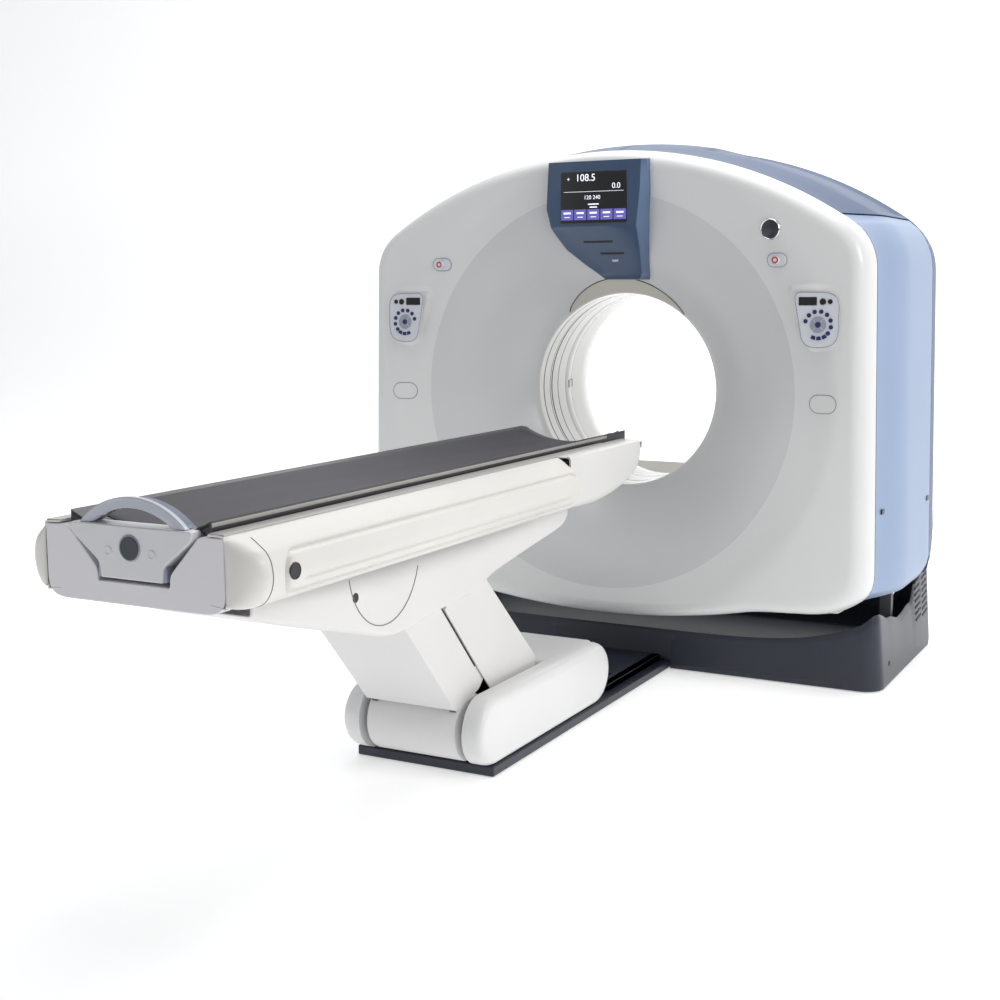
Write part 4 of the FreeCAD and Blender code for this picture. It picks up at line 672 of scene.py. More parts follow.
def inside_share(x, z, outline):
    """Signed distance into an outline, positive inside."""
    nearest, inside = 10.0, False
    for (ax, az), (bx, bz) in zip(outline, outline[1:] + outline[:1]):
        run = max(0.0, min(1.0, ((x - ax) * (bx - ax) + (z - az) * (bz - az))
                           / max(1e-12, (bx - ax) ** 2 + (bz - az) ** 2)))
        nearest = min(nearest, math.hypot(x - ax - (bx - ax) * run, z - az - (bz - az) * run))
        if (az > z) != (bz > z) and x < (bx - ax) * (z - az) / (bz - az) + ax:
            inside = not inside
    return nearest if inside else -nearest


def pods():
    """Control pods: a soft boss in the face, a film panel, its display, dial and keys."""
    boss = rounded([(-0.118, 0.118), (0.100, 0.118), (0.108, -0.100), (-0.030, -0.118)],
                   [0.05, 0.05, 0.05, 0.04])
    film = rounded([(-0.074, 0.088), (0.050, 0.086), (0.078, 0.062), (0.078, -0.062), (0.048, -0.092),
                    (-0.040, -0.092)], [0.03, 0.03, 0.03, 0.04, 0.045, 0.04])
    centre_x, centre_z = 0.774, 1.262
    for name, side in SIDES:
        rows = []
        for u in between(-0.14, 0.098, 56):
            row = []
            for v in between(-0.135, 0.135, 60):
                rise = smoothstep(inside_share(u, v, boss) / 0.024)
                fade = smoothstep((0.094 - u) / 0.15) * (0.35 + 0.65 * smoothstep((0.15 + v) / 0.12))
                x, z = centre_x + u, centre_z + v
                _, y, _ = on_face(x, z, -0.0006 + 0.013 * rise * fade)
                row.append((side * x, y, z))
            rows.append(row)
        made = grid(f"pod_boss_{name}", rows, FACE, False, 60)
        finish_piece(made, "gantry", "cover_white")

        def placed(points):
            return [(side * (centre_x + u), centre_z + v) for u, v in points]

        top = FACE_Y - 0.0125
        panel = plate(f"pod_panel_{name}", placed(film), FACE_Y - 0.002, top, PANEL, "xz", 0.003, 4)
        finish_piece(panel, "gantry", "panel_grey", f"control_panel_{name}")
        rim = [(x, top - 0.0001, z) for x, z in placed(film)]
        finish_piece(strand(f"pod_rim_{name}", rim, 0.0011, PANEL_GREY, True), "gantry", "panel_grey")
        display = plate(f"pod_display_{name}", placed(box_outline(-0.056, 0.004, 0.044, 0.071, 0.003)),
                        top + 0.001, top - 0.0016, BLACK, "xz", 0.0008)
        finish_piece(display, "gantry", "panel_grey")
        for index, (u, v, r) in enumerate(((0.024, 0.056, 0.0105), (0.048, 0.056, 0.008))):
            key = plate(f"pod_round_{name}_{index}", placed(circle(r, (u, v), 24)), top + 0.001, top - 0.003,
                        BLACK, "xz", 0.001)
            finish_piece(key, "gantry", "panel_grey")
        hub = (0.010, -0.018)
        dial = plate(f"pod_dial_{name}", placed(circle(0.027, hub, 40)), top + 0.001, top - 0.0022,
                     PANEL_GREY, "xz", 0.001)
        finish_piece(dial, "gantry", "panel_grey")
        core = plate(f"pod_core_{name}", placed(circle(0.0095, hub, 28)), top, top - 0.0042, KEY, "xz", 0.001)
        finish_piece(core, "gantry", "panel_grey")
        for index in range(4):
            angle = math.radians(45 + 90 * index)
            line = [(side * (centre_x + hub[0] + r * math.cos(angle)), top - 0.0022,
                     centre_z + hub[1] + r * math.sin(angle)) for r in (0.011, 0.026)]
            finish_piece(strand(f"pod_sector_{name}_{index}", line, 0.0007, PANEL), "gantry", "panel_grey")
        for index in range(8):
            angle = math.radians(165 - 205 * index / 7)
            u, v = hub[0] + 0.043 * math.cos(angle), hub[1] + 0.043 * math.sin(angle)
            key = plate(f"pod_key_{name}_{index}", placed(circle(0.0072, (u, v), 20)), top + 0.001,
                        top - 0.003, KEY, "xz", 0.001)
            finish_piece(key, "gantry", "panel_grey")
        for index in range(3):
            angle = math.radians(-62 - 24 * index)
            u, v = hub[0] + 0.044 * math.cos(angle), hub[1] + 0.044 * math.sin(angle)
            turn = angle + math.pi / 2
            shape = [(-0.008, -0.006), (0.008, -0.006), (0.0062, 0.006), (-0.0062, 0.006)]
            cos, sin = math.cos(turn), math.sin(turn)
            shape = [(u + a * cos - b * sin, v + a * sin + b * cos) for a, b in shape]
            key = plate(f"pod_bar_{name}_{index}", placed(rounded(shape, 0.0015, 3)), top + 0.001,
                        top - 0.003, KEY, "xz", 0.0008)
            finish_piece(key, "gantry", "panel_grey")


def stops_and_caps():
    """Oval stop plates with their buttons, a bare disc and a flush oval cap."""
    for name, side in SIDES:
        middle = (side * 0.635, 1.453)
        shape = stadium(0.034, 0.021, 10, middle)
        made = plate(f"stop_plate_{name}", shape, FACE_Y + 0.001, FACE_Y - 0.006, PANEL, "xz", 0.0035, 4)
        drape(made)
        nodes = ("stop_plates",) if side < 0 else ()
        finish_piece(made, "gantry", "panel_grey", *nodes)
        rim = [on_face(x, z, 0.0014) for x, z in stadium(0.0352, 0.0222, 10, middle)]
        finish_piece(strand(f"stop_rim_{name}", rim, 0.0013, PANEL_GREY, True), "gantry", "panel_grey")
        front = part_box(f"stop_button_{name}")[0].y
        plane = on_face(*middle, 0.005)[1]
        centre = (middle[0], 0.0, middle[1])
        profile = [(plane + 0.002, 0.004), (plane + 0.001, 0.0125), (front + 0.014, 0.0128),
                   (front + 0.010, 0.0115), (front + 0.009, 0.009), (front + 0.0096, 0.006),
                   (front + 0.0098, 0.0001)]
        knob = lathe(f"stop_knob_{name}", profile, PANEL, centre, steps=40, crease=40)
        knob.data.materials.append(RED)
        for face in knob.data.polygons:
            if 0.0062 < math.hypot(face.center.x - middle[0], face.center.z - middle[1]) < 0.0112:
                face.material_index = 1
        finish_piece(knob, f"stop_{name}", "stop_red", f"stop_button_{name}")
    for side in (-1, 1):
        middle = (side * 0.800, 0.985)
        cap = drape(plate(f"port_cap_{side + 1}", stadium(0.046, 0.029, 10, middle), FACE_Y + 0.001,
                          FACE_Y - 0.0015, FACE, "xz", 0.001))
        finish_piece(cap, "gantry", "cover_white")
        rim = [on_face(x, z, 0.0004) for x, z in stadium(0.047, 0.030, 10, middle)]
        finish_piece(strand(f"port_rim_{side + 1}", rim, 0.0012, SHADE_LINE, True), "gantry", "cover_white")
    centre = (0.612, FACE_Y, 1.553)
    profile = [(0.0, 0.030), (-0.004, 0.030), (-0.0052, 0.027), (-0.0056, 0.0001)]
    disc = drape(lathe("badge_disc", profile, BADGE, centre, steps=48))
    finish_piece(disc, "gantry", "panel_grey")
    rim = drape(lathe("badge_rim", [(0.001, 0.036), (-0.004, 0.0352), (-0.0065, 0.0325), (-0.0055, 0.030),
                                    (-0.003, 0.0295)], CHROME, centre, steps=48, crease=60))
    finish_piece(rim, "gantry", "panel_grey")


def eyebrow():
    """A beige crescent over the bore's mouth."""
    rows = []
    start, end = 50.0, 128.0
    for share in between(0.0, 1.0, 48):
        angle = math.radians(start + (end - start) * share)
        reach = THROAT_R + 0.004 + 0.047 * math.sin(math.pi * share) ** 0.8
        row = []
        for step in between(0.0, 1.0, 6):
            radius = THROAT_R + (reach - THROAT_R) * step
            x, z = radius * math.cos(angle), ISO_Z + radius * math.sin(angle)
            row.append((x, face_depth(radius) - 0.0022 + 0.002 * (step == 1.0), z))
        rows.append(row)
    finish_piece(grid("mouth_crescent", rows, LIP, False, 60), "gantry", "cover_white")
    edge = [(x, y - 0.0018, z) for x, y, z in (row[-1] for row in rows)]
    finish_piece(strand("mouth_crescent_line", edge, 0.0015, SEAM_AND_SHADE), "gantry", "cover_white")


def bezel():
    """The display housing: upright round the screen, then following the dish down to the mouth."""
    left = [(1.800, -0.186), (1.70, -0.193), (1.637, -0.196), (1.56, -0.176), (1.50, -0.150), (1.44, -0.090),
            (1.405, -0.048), (1.393, -0.028)]
    right = [(1.800, 0.186), (1.70, 0.182), (1.637, 0.176), (1.56, 0.168), (1.50, 0.156), (1.44, 0.140),
             (1.405, 0.130), (1.393, 0.122)]

    def edge(table, z):
        for (az, ax), (bz, bx) in zip(table, table[1:]):
            if az >= z >= bz:
                return ax + (bx - ax) * (az - z) / (az - bz)
        return table[-1][1]

    front = FACE_Y - 0.026
    rows = []
    heights = [1.800] + between(1.797, 1.396, 60) + [1.393]
    for z in heights:
        low, high = edge(left, z), edge(right, z)
        skirt = 1.0 if z not in (1.800, 1.393) else 0.0
        dish = face_depth(z - ISO_Z)
        plane = min(0.0, dish - 0.022)
        leaning = max(front, min(plane, front + (1.575 - z) * 0.9)) if z < 1.575 else front
        face = min(leaning, dish - 0.016)
        row = []
        for x, rise in ((low - 0.002, 0.0), (low + 0.001, 0.7), (low + 0.006, 0.94), (low + 0.012, 1.0),
                        (low + (high - low) * 0.3, 1.0), (low + (high - low) * 0.6, 1.0),
                        (high - 0.024, 1.0), (high - 0.020, 0.97), (high - 0.004, 0.55), (high, 0.0)):
            base = face_depth(math.hypot(x, z - ISO_Z)) + 0.003
            row.append((x, base + (face - base) * rise * skirt, z))
        rows.append(row)
    made = grid("bezel_housing", rows, SLATE, False, 28)
    # A lighter blue on the housing's right edge faces: painted highlight where the edge faces the light.
    made.data.materials.append(surface("bezel_edge_highlight", (0.10, 0.16, 0.27), rough=0.3, tone=0.04, coat=0.25))
    for face in made.data.polygons:
        if all(made.data.vertices[index].co.x > edge(right, made.data.vertices[index].co.z) - 0.022
               for index in face.vertices):
            face.material_index = 1
    finish_piece(made, "gantry", "bezel_slate", "display_bezel")
    for index, (x, z, half) in enumerate(((-0.010, 1.527, 0.056), (0.028, 1.487, 0.046))):
        depth = max(front, front + max(0.0, 1.575 - z) * 0.9)
        depth = min(depth, face_depth(z - ISO_Z) - 0.016)
        slot = plate(f"speaker_slot_{index}", stadium(half, 0.006, 6, (x, z)), depth + 0.006,
                     depth - 0.0012, SEAM_AND_SHADE, "xz", 0.0006)
        finish_piece(slot, "gantry", "bezel_slate")
    z = 1.462
    depth = min(front + (1.575 - z) * 0.9, face_depth(z - ISO_Z) - 0.016)
    dot = plate("pilot_lamp", stadium(0.012, 0.0055, 6, (0.030, z)), depth + 0.006, depth - 0.0015, PANEL,
                "xz", 0.0006)
    finish_piece(dot, "gantry", "bezel_slate")


def screen():
    """The black display with plain numbers and a row of soft keys."""
    low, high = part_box("display_screen")
    glass = plate("display_glass", box_outline(low.x, high.x, low.z, high.z, 0.004), high.y - 0.001,
                  low.y - 0.0035, BLACK, "xz", 0.0012)
    finish_piece(glass, "gantry", "screen", "display_screen")
    front = low.y - 0.0037
    lit = glowing(surface("lit_white", (0.85, 0.87, 0.95), rough=0.4, tone=0.02), (0.85, 0.88, 1.0), 0.7)
    violet = surface("lit_violet", (0.10, 0.09, 0.34), rough=0.4, tone=0.15)
    glowing(violet, (0.16, 0.14, 0.55), 0.45)
    middle, width = (low.x + high.x) / 2, high.x - low.x
    for index, (words, x, z, tall) in enumerate((("108.5", middle - 0.03, 1.730, 0.034),
                                                 ("0.0", middle + 0.085, 1.703, 0.026),
                                                 ("+", middle - 0.095, 1.730, 0.022),
                                                 ("120 240", middle - 0.005, 1.668, 0.019))):
        data = bpy.data.curves.new(f"numbers_{index}", "FONT")
        data.body = words
        data.size = tall
        data.extrude = 0.0002
        data.align_x = "CENTER"
        made = bpy.data.objects.new(f"display_numbers_{index}", data)
        bpy.context.scene.collection.objects.link(made)
        made.location = (x, front, z)
        made.rotation_euler = (math.pi / 2, 0, 0)
        data.materials.append(lit)
        finish_piece(made, "gantry", "screen")
    for index, (z, half, tall) in enumerate(((1.694, width / 2 - 0.012, 0.0006), (1.651, 0.020, 0.002),
                                             (1.641, 0.014, 0.002))):
        bar = plate(f"display_bar_{index}", box_outline(middle - half, middle + half, z - tall, z + tall),
                    front + 0.0003, front, lit, "xz")
        finish_piece(bar, "gantry", "screen")
    for index in range(5):
        across = low.x + width * (index + 0.5) / 5
        half = width / 10 - 0.002
        key = plate(f"display_key_{index}", box_outline(across - half, across + half, 1.598, 1.634, 0.002),
                    front + 0.0006, front, violet, "xz")
        finish_piece(key, "gantry", "screen")
        for line, (z, reach) in enumerate(((1.622, 0.6), (1.608, 0.45))):
            tall = 0.003 - 0.0018 * line
            mark = plate(f"display_mark_{index}_{line}",
                         box_outline(across - half * reach, across + half * reach, z - tall, z + tall),
                         front, front - 0.0003, lit, "xz")
            finish_piece(mark, "gantry", "screen")


pods()
stops_and_caps()
eyebrow()
bezel()
screen()


# ---- patient table ------------------------------------------------------------------------------

TABLE_FOOT, SIDE_HEAD = TOP_Y - 0.686, TOP_Y + 0.868
SIDE_SECTION = ((0.206, 0.026), (0.245, 0.022), (0.272, 0.020), (0.296, 0.032), (0.312, 0.055),
                (0.3185, 0.080), (0.3175, 0.100), (0.3135, 0.118), (0.308, 0.129), (0.300, 0.139),
                (0.286, 0.150), (0.262, 0.166), (0.240, 0.1745), (0.204, 0.1765))


def loft(points, steps):
    """A smooth curve through points, Catmull-Rom."""
    result = []
    padded_points = [points[0]] + list(points) + [points[-1]]
    for a, b, c, d in zip(padded_points, padded_points[1:], padded_points[2:], padded_points[3:]):
        for step in range(steps):
            t = step / steps
            result.append(tuple(0.5 * (2 * q + (r - p) * t + (2 * p - 5 * q + 4 * r - s) * t * t
                                       + (3 * q - p - 3 * r + s) * t ** 3) for p, q, r, s in zip(a, b, c, d)))
    result.append(tuple(points[-1]))
    return result


def quarter(width, low, bend, steps):
    """The rounded lower corner of a tub's right half, from its side round to its floor."""
    angles = [math.radians(-90 * step / steps) for step in range(steps + 1)]
    return [(width - bend + bend * math.cos(a), low + bend + bend * math.sin(a)) for a in angles]


def mirrored(section, y):
    """A row across the table at a depth, from the left edge to the right, from its right half."""
    return ([(-x, y, TOP_Z + z) for x, z in section]
            + [(x, y, TOP_Z + z) for x, z in reversed(section)])


def side_covers():
    """Bulged side mouldings with a raised stadium panel, grooves and a rounded foot."""
    section = loft(SIDE_SECTION, 14)
    panel_low, panel_high = 0.040, 0.130
    panel_foot, panel_head = TABLE_FOOT + 0.112, SIDE_HEAD - 0.016
    middle, half = (panel_low + panel_high) / 2, (panel_high - panel_low) / 2
    round_foot, round_head = 0.058, 0.012
    depths = [TABLE_FOOT + round_foot * (1 - math.cos(math.radians(a))) for a in range(0, 91, 9)]
    depths += between(TABLE_FOOT + 0.063, TABLE_FOOT + 0.2, 52)
    depths += between(TABLE_FOOT + 0.22, SIDE_HEAD - 0.11, 40)
    depths += between(SIDE_HEAD - 0.1, SIDE_HEAD - 0.014, 40)
    depths += [SIDE_HEAD - round_head * math.cos(math.radians(a)) for a in range(0, 76, 15)]
    depths += [SIDE_HEAD - 0.0008, SIDE_HEAD - 0.0004]

    def fullness(y):
        foot = min(1.0, max(0.0, (y - TABLE_FOOT) / round_foot))
        head = min(1.0, max(0.0, (SIDE_HEAD - y) / round_head))
        return math.sqrt(1 - (1 - foot) ** 2), math.sqrt(1 - (1 - head) ** 2)

    for name, side in SIDES:
        rows = []
        for y in depths:
            foot, head = fullness(y)
            row = []
            for x, z in section:
                swell = (0.02 + 0.98 * foot * (0.72 + 0.28 * head)) * (y < SIDE_HEAD - 0.0006)
                out = 0.245 + (x - 0.245) * swell if x > 0.245 else x
                height = 0.098 + (z - 0.098) * (0.86 + 0.14 * foot) if x > 0.245 else z
                into = 0.0
                if x > 0.285:
                    reach = max(panel_foot + half - y, 0.0, y - (panel_head - half * 0.5))
                    distance = math.hypot(reach, z - middle) - half
                    into = 0.0085 * math.exp(-(distance / 0.0048) ** 2)
                    into -= 0.003 * smoothstep(-distance / 0.006)
                lower = math.exp(-((z - 0.0665) / 0.0036) ** 2) if x > 0.300 else 0.0
                inside = smoothstep((y - panel_foot - 0.05) / 0.03)
                inside *= smoothstep((panel_head - 0.03 - y) / 0.02)
                into += 0.0045 * lower * inside
                row.append((side * (out - into * foot * head), y, TOP_Z + height))
            rows.append(row)
        made = grid(f"side_cover_{name}_skin", rows, CREAM, False, 50)
        thick(made, 0.0035, -1.0)
        finish_piece(made, "table", "cover_white", f"side_cover_{name}")
        hole = (panel_foot + 0.024, TOP_Z + 0.088)
        profile = [(-0.006, 0.0185), (0.0014, 0.0182), (0.0018, 0.0168), (0.0004, 0.0158), (0.0002, 0.0001)]
        cup = lathe(f"side_socket_{name}", profile, SEAM_AND_SHADE, (0.3222, 0, 0), "x", steps=40)
        finish_piece(sided(cup, side, *hole), "table", "cover_white")
        seam = [(side * (x + 0.0004), TABLE_FOOT + 0.064, TOP_Z + z) for x, z in section if x > 0.262]
        finish_piece(strand(f"foot_cap_seam_{name}", seam, 0.0011, SHADE_LINE), "table", "cover_white")
        rail = rounded([(0.2035, 0.1745), (0.243, 0.1735), (0.243, 0.1775), (0.2035, 0.1785)], 0.001, 3)
        strip = plate(f"rail_strip_{name}", [(side * x, TOP_Z + z) for x, z in rail], TABLE_FOOT + 0.004,
                      SIDE_HEAD + 0.40, EDGE_TRIM, "xz", 0.0008)
        finish_piece(strip, "table", "cover_white")


def foot_plate():
    """The tub's end wall with its notch for the cradle's block."""
    low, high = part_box("foot_end_cover")
    base, top = low.z + 0.002, high.z - 0.002
    outline = rounded([(-0.244, top), (-0.244, base + 0.020), (-0.215, base), (0.215, base),
                       (0.244, base + 0.020), (0.244, top), (0.180, top), (0.1, base + 0.075),
                       (0.098, base + 0.048), (-0.098, base + 0.048), (-0.1, base + 0.075), (-0.180, top)],
                      [0.004, 0.03, 0.03, 0.03, 0.03, 0.004, 0.012, 0.012, 0.004, 0.004, 0.012, 0.012])
    skin = surface("foot_plate_lilac", (0.72, 0.71, 0.74), rough=0.36, tone=0.02, coat=0.12)
    made = plate("foot_end_skin", outline, TABLE_FOOT + 0.0005, TABLE_FOOT + 0.044, skin, "xz", 0.006, 5)
    finish_piece(made, "table", "cover_white", "foot_end_cover")


def nose():
    """The white tub under the cradle's head, rounded at its tip and lower edges."""
    half = 0.285
    start, tip = SIDE_HEAD + 0.001, TOP_Y + 1.440
    reach = tip - start
    under = loft([(0.0, 0.024), (0.07, 0.017), (0.22, 0.014), (0.39, 0.014), (0.62, 0.028), (0.82, 0.055),
                  (0.93, 0.085), (0.975, 0.115), (0.993, 0.140), (1.0, 0.160)], 6)
    rows = []
    for share, low in under:
        y = start + reach * share
        width = half * (1.0 - 0.055 * max(0.0, (share - 0.85) / 0.15) ** 3)
        top = 0.1765 if share < 0.985 else 0.1765 - 0.004 * (share - 0.985) / 0.015
        low = min(low, top - 0.012)
        bend = min(0.032, (top - low) * 0.45)
        section = [(0.204, top), (width - 0.010, top), (width - 0.003, top - 0.002), (width, top - 0.009)]
        section += quarter(width, low, bend, 8) + [(width * 0.3, low - 0.001)]
        rows.append(mirrored(section, y))
    made = grid("nose_skin", rows, WHITE, False, 50)
    thick(made, 0.0035, -1.0)
    finish_piece(made, "table", "cover_white", "head_nose_cover")
    seam = [(x * 1.001, y - 0.0006, z) for x, y, z in rows[0][1:-1]]
    finish_piece(strand("nose_seam", seam, 0.0014, SHADE_LINE), "table", "cover_white")


def dish_height(x):
    """How far the cradle's top lies below its edges."""
    half, dip = 0.193, 0.046
    radius = (half ** 2 + dip ** 2) / (2 * dip)
    return dip - radius + math.sqrt(radius ** 2 - min(abs(x), half) ** 2)


def cradle_slab():
    """Dished carbon top with a rounded rim, tapered towards its head."""
    low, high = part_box("cradle")
    top, start, end = high.z, low.y, high.y
    rows = []
    depths = [start, start + 0.003, start + 0.01] + between(start + 0.05, end - 0.15, 24)
    depths += between(end - 0.14, end - 0.010, 12) + [end - 0.003, end]
    for y in depths:
        ends = max(0.0, 1 - min(y - start, end - y) / 0.010)
        narrow = 1.0 - 0.10 * smoothstep((y - end + 0.14) / 0.14) ** 2
        half = 0.1925 * narrow - 0.004 * ends
        skin = 0.014 - 0.009 * ends
        row = []
        for step in between(-1.0, 1.0, 36):
            x = half * step
            row.append((x, y, top - dish_height(x / narrow) - (0.014 - skin) / 2))
        row.append((half + 0.0004, y, top - 0.004))
        row.append((half, y, top - 0.010))
        for step in between(1.0, -1.0, 36):
            x = half * step * 0.985
            row.append((x, y, top - dish_height(x / narrow) - skin - 0.002))
        row.append((-half, y, top - 0.010))
        row.append((-half - 0.0004, y, top - 0.004))
        rows.append(row)
    made = capped("cradle_shell", rows, CARBON, 40)
    finish_piece(made, "cradle", "cradle_carbon")
    for name, side in SIDES:
        trim = rounded([(0.1885, -0.003), (0.1935, -0.0045), (0.1935, -0.014), (0.1885, -0.014)], 0.0015, 3)
        strip = plate(f"cradle_rim_{name}", [(side * x, top + z) for x, z in trim], start + 0.002, end - 0.15,
                      EDGE_TRIM, "xz", 0.0006)
        finish_piece(strip, "cradle", "cradle_carbon")


def cradle_pad():
    """The vinyl pad in the cradle's dish: crowned, with a welded border and pinched ends."""
    low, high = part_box("cradle_mat")
    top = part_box("cradle")[1].z
    half = (high.x - low.x) / 2
    depths = [low.y, low.y + 0.002, low.y + 0.006, low.y + 0.014] + between(low.y + 0.03, high.y - 0.03, 110)
    depths += [high.y - 0.014, high.y - 0.006, high.y - 0.002, high.y]
    rows = []
    for y in depths:
        ends = max(0.0, 1 - min(y - low.y, high.y - y) / 0.016)
        narrow = 1.0 - 0.10 * smoothstep((y - high.y + 0.10) / 0.12) ** 2
        width = half * narrow - 0.006 * ends ** 2
        row = []
        for step in between(-1.0, 1.0, 44):
            x = width * step
            border = math.exp(-((abs(step) - 0.93) / 0.012) ** 2) * 0.0016
            crown = (1 - abs(step) ** 6) ** 0.5 if abs(step) < 1 else 0.0
            soft = 0.0006 * math.sin(9.0 * y + 2.0 * math.sin(7.0 * step)) * (1 - step * step)
            row.append((x, y, top - dish_height(x / narrow) + 0.0008 + 0.0062 * crown * (1 - 0.8 * ends ** 2)
                        - border + soft))
        for step in between(1.0, -1.0, 20):
            x = width * step * 0.99
            row.append((x, y, top - dish_height(x / narrow) + 0.0004))
        rows.append(row)
    made = capped("cradle_pad", rows, MAT, 60)
    finish_piece(made, "cradle", "mat_cover", "cradle_mat")


def end_block():
    """The cradle's foot block with two caps and a bare disc."""
    low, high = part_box("cradle_end_block")
    top, base = high.z - 0.001, low.z + 0.002
    outline = rounded([(-0.166, top), (-0.166, top - 0.020), (-0.088, base + 0.034), (-0.084, base),
                       (0.084, base), (0.088, base + 0.034), (0.166, top - 0.020), (0.166, top)],
                      [0.006, 0.02, 0.012, 0.004, 0.004, 0.012, 0.02, 0.006])
    skin = surface("block_pale", (0.68, 0.68, 0.70), rough=0.36, tone=0.02, coat=0.12)
    made = plate("end_block_body", outline, low.y + 0.001, high.y - 0.001, skin, "xz", 0.007, 4)
    finish_piece(made, "cradle", "block_grey", "cradle_end_block")
    for side in (-1, 1):
        cap = lathe(f"block_cap_{side + 1}", [(0.0, 0.0105), (-0.0015, 0.0102), (-0.0024, 0.0088),
                    (-0.0010, 0.0080), (-0.0012, 0.0001)], skin,
                    (side * 0.060, low.y + 0.0015, top - 0.056), steps=32)
        finish_piece(cap, "cradle", "block_grey")
        shape = [(0.080, base + 0.001), (0.093, base + 0.001), (0.093, base + 0.038), (0.080, base + 0.030)]
        hook = plate(f"block_hook_{side + 1}", rounded([(side * x, z) for x, z in shape], 0.004),
                     low.y + 0.006, low.y + 0.030, PANEL_GREY, "xz", 0.002)
        finish_piece(hook, "cradle", "block_grey")
    centre = (0.0, low.y + 0.0015, top - 0.046)
    profile = [(0.0, 0.0255), (-0.0016, 0.0252), (-0.0026, 0.0235), (-0.0024, 0.0001)]
    disc = lathe("block_disc", profile, BADGE, centre, steps=48)
    finish_piece(disc, "cradle", "block_grey")
    profile = [(0.0, 0.029), (-0.0022, 0.0286), (-0.0032, 0.0267), (-0.0018, 0.0253)]
    ring_line = lathe("block_disc_rim", profile, PANEL_GREY, centre, steps=48, crease=60)
    finish_piece(ring_line, "cradle", "block_grey")


def handle():
    """A clear arched grab bar with a navy back."""
    low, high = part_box("cradle_handle")
    half = (high.x - low.x) / 2
    feet, crown = low.z + 0.001, high.z - 0.0005
    rise = crown - feet
    radius = (half ** 2 + rise ** 2) / (2 * rise)
    reach = math.asin(min(1.0, half / radius))
    centre_z = crown - radius
    depth = (high.y - low.y) / 2
    middle_y = (high.y + low.y) / 2
    shells = (("handle_arch", 0.0, 0.024, -depth * 0.95, depth * 0.95, HANDLE, 0.0),
              ("handle_back", 0.005, 0.014, depth * 0.95, depth * 0.95 + 0.030, SLATE, 0.02),
              ("handle_rib", 0.012, 0.010, depth * 0.6, depth * 0.95 + 0.024, NAVY, 0.03))
    for name, inset, thickness, start, end, tint, short in shells:
        rows = []
        for share in between(-1.0, 1.0, 48):
            angle = share * reach * (1 - short)
            outer = radius - inset
            inner = outer - thickness
            edge = min(0.003, (end - start) * 0.2)
            across = [(outer - edge, start), (outer, start + edge), (outer, end - edge), (outer - edge, end),
                      (inner + edge, end), (inner, end - edge), (inner, start + edge), (inner + edge, start)]
            rows.append([(r * math.sin(angle), middle_y + d, max(feet, centre_z + r * math.cos(angle)))
                         for r, d in across])
        made = capped(name, rows, tint, 40)
        nodes = ("cradle_handle",) if name == "handle_arch" else ()
        finish_piece(made, "cradle", "handle_clear", *nodes)


side_covers()
foot_plate()
nose()
cradle_slab()
cradle_pad()
end_block()
handle()


# ---- pedestal -----------------------------------------------------------------------------------

def underbody():
    """The skirt round the lift's head: a rounded tub with a soft lower edge."""
    half = 0.163
    line = loft([(-0.498, -0.040), (-0.430, -0.068), (-0.276, -0.113), (-0.110, -0.157), (0.0, -0.190),
                 (0.060, -0.202), (0.117, -0.205), (0.220, -0.197), (0.318, -0.187), (0.450, -0.178),
                 (0.558, -0.172), (0.600, -0.145), (0.786, -0.113), (1.000, -0.082), (1.080, -0.066),
                 (1.108, -0.045)], 5)
    rows = []
    for y, low in line:
        bend = min(0.014, -low * 0.3)
        top = 0.020
        closed = y < -0.02 or y > 0.56
        floor = (half * 0.4, low) if closed else (half - bend - 0.003, low + 0.001)
        section = [(half, top), (half, (low + top) / 2)] + quarter(half, low, bend, 6) + [floor]
        rows.append(mirrored(section, TOP_Y + y))
    made = grid("underbody_skin", rows, LIFT, False, 45)

    def over_arms(face):
        x, y, z = face.calc_center_median()
        return abs(x) < 0.05 and TOP_Y - 0.02 < y < TOP_Y + 0.56 and z < TOP_Z - 0.1

    without(made, over_arms)
    thick(made, 0.004, -1.0)
    finish_piece(made, "table", "cover_white", "underbody_cover")
    for name, side in SIDES:
        arc = []
        for step in between(0.0, 1.0, 20):
            angle = math.radians(-168 + 150 * step)
            y, z = TOP_Y + 0.0425 + 0.165 * math.cos(angle), TOP_Z + 0.013 + 0.180 * math.sin(angle)
            arc.append((side * (half + 0.0006), y, z))
        finish_piece(strand(f"shoulder_seam_{name}", arc, 0.0013, SHADE_LINE), "table", "cover_white")
        profile = [(0.0, 0.0125), (0.0012, 0.0120), (0.0012, 0.0105), (0.0006, 0.0100), (0.0006, 0.0001)]
        socket = lathe(f"shoulder_hole_{name}", profile, SEAM_AND_SHADE, (half, 0, 0), "x", steps=32)
        finish_piece(sided(socket, side, TOP_Y - 0.092, TOP_Z - 0.073), "table", "cover_white")


def sheath(name, node, body, outline_points, half, bend, open_across):
    """An arm's cover: a soft-edged shell, open at its top and towards the other arm."""
    made = plate(name, outline_points, -half, half, LIFT, "yz")
    along = Vector((0.0, -math.cos(ARM_ANGLE), math.sin(ARM_ANGLE)))
    across = Vector((0.0, math.sin(ARM_ANGLE), math.cos(ARM_ANGLE))) * open_across
    without(made, lambda face: face.normal.dot(along) > 0.75 or face.normal.dot(across) > 0.55)
    bevelled(made, bend, 6)
    thick(made, 0.004, -1.0)
    finish_piece(made, body, "cover_white", node)
    return made


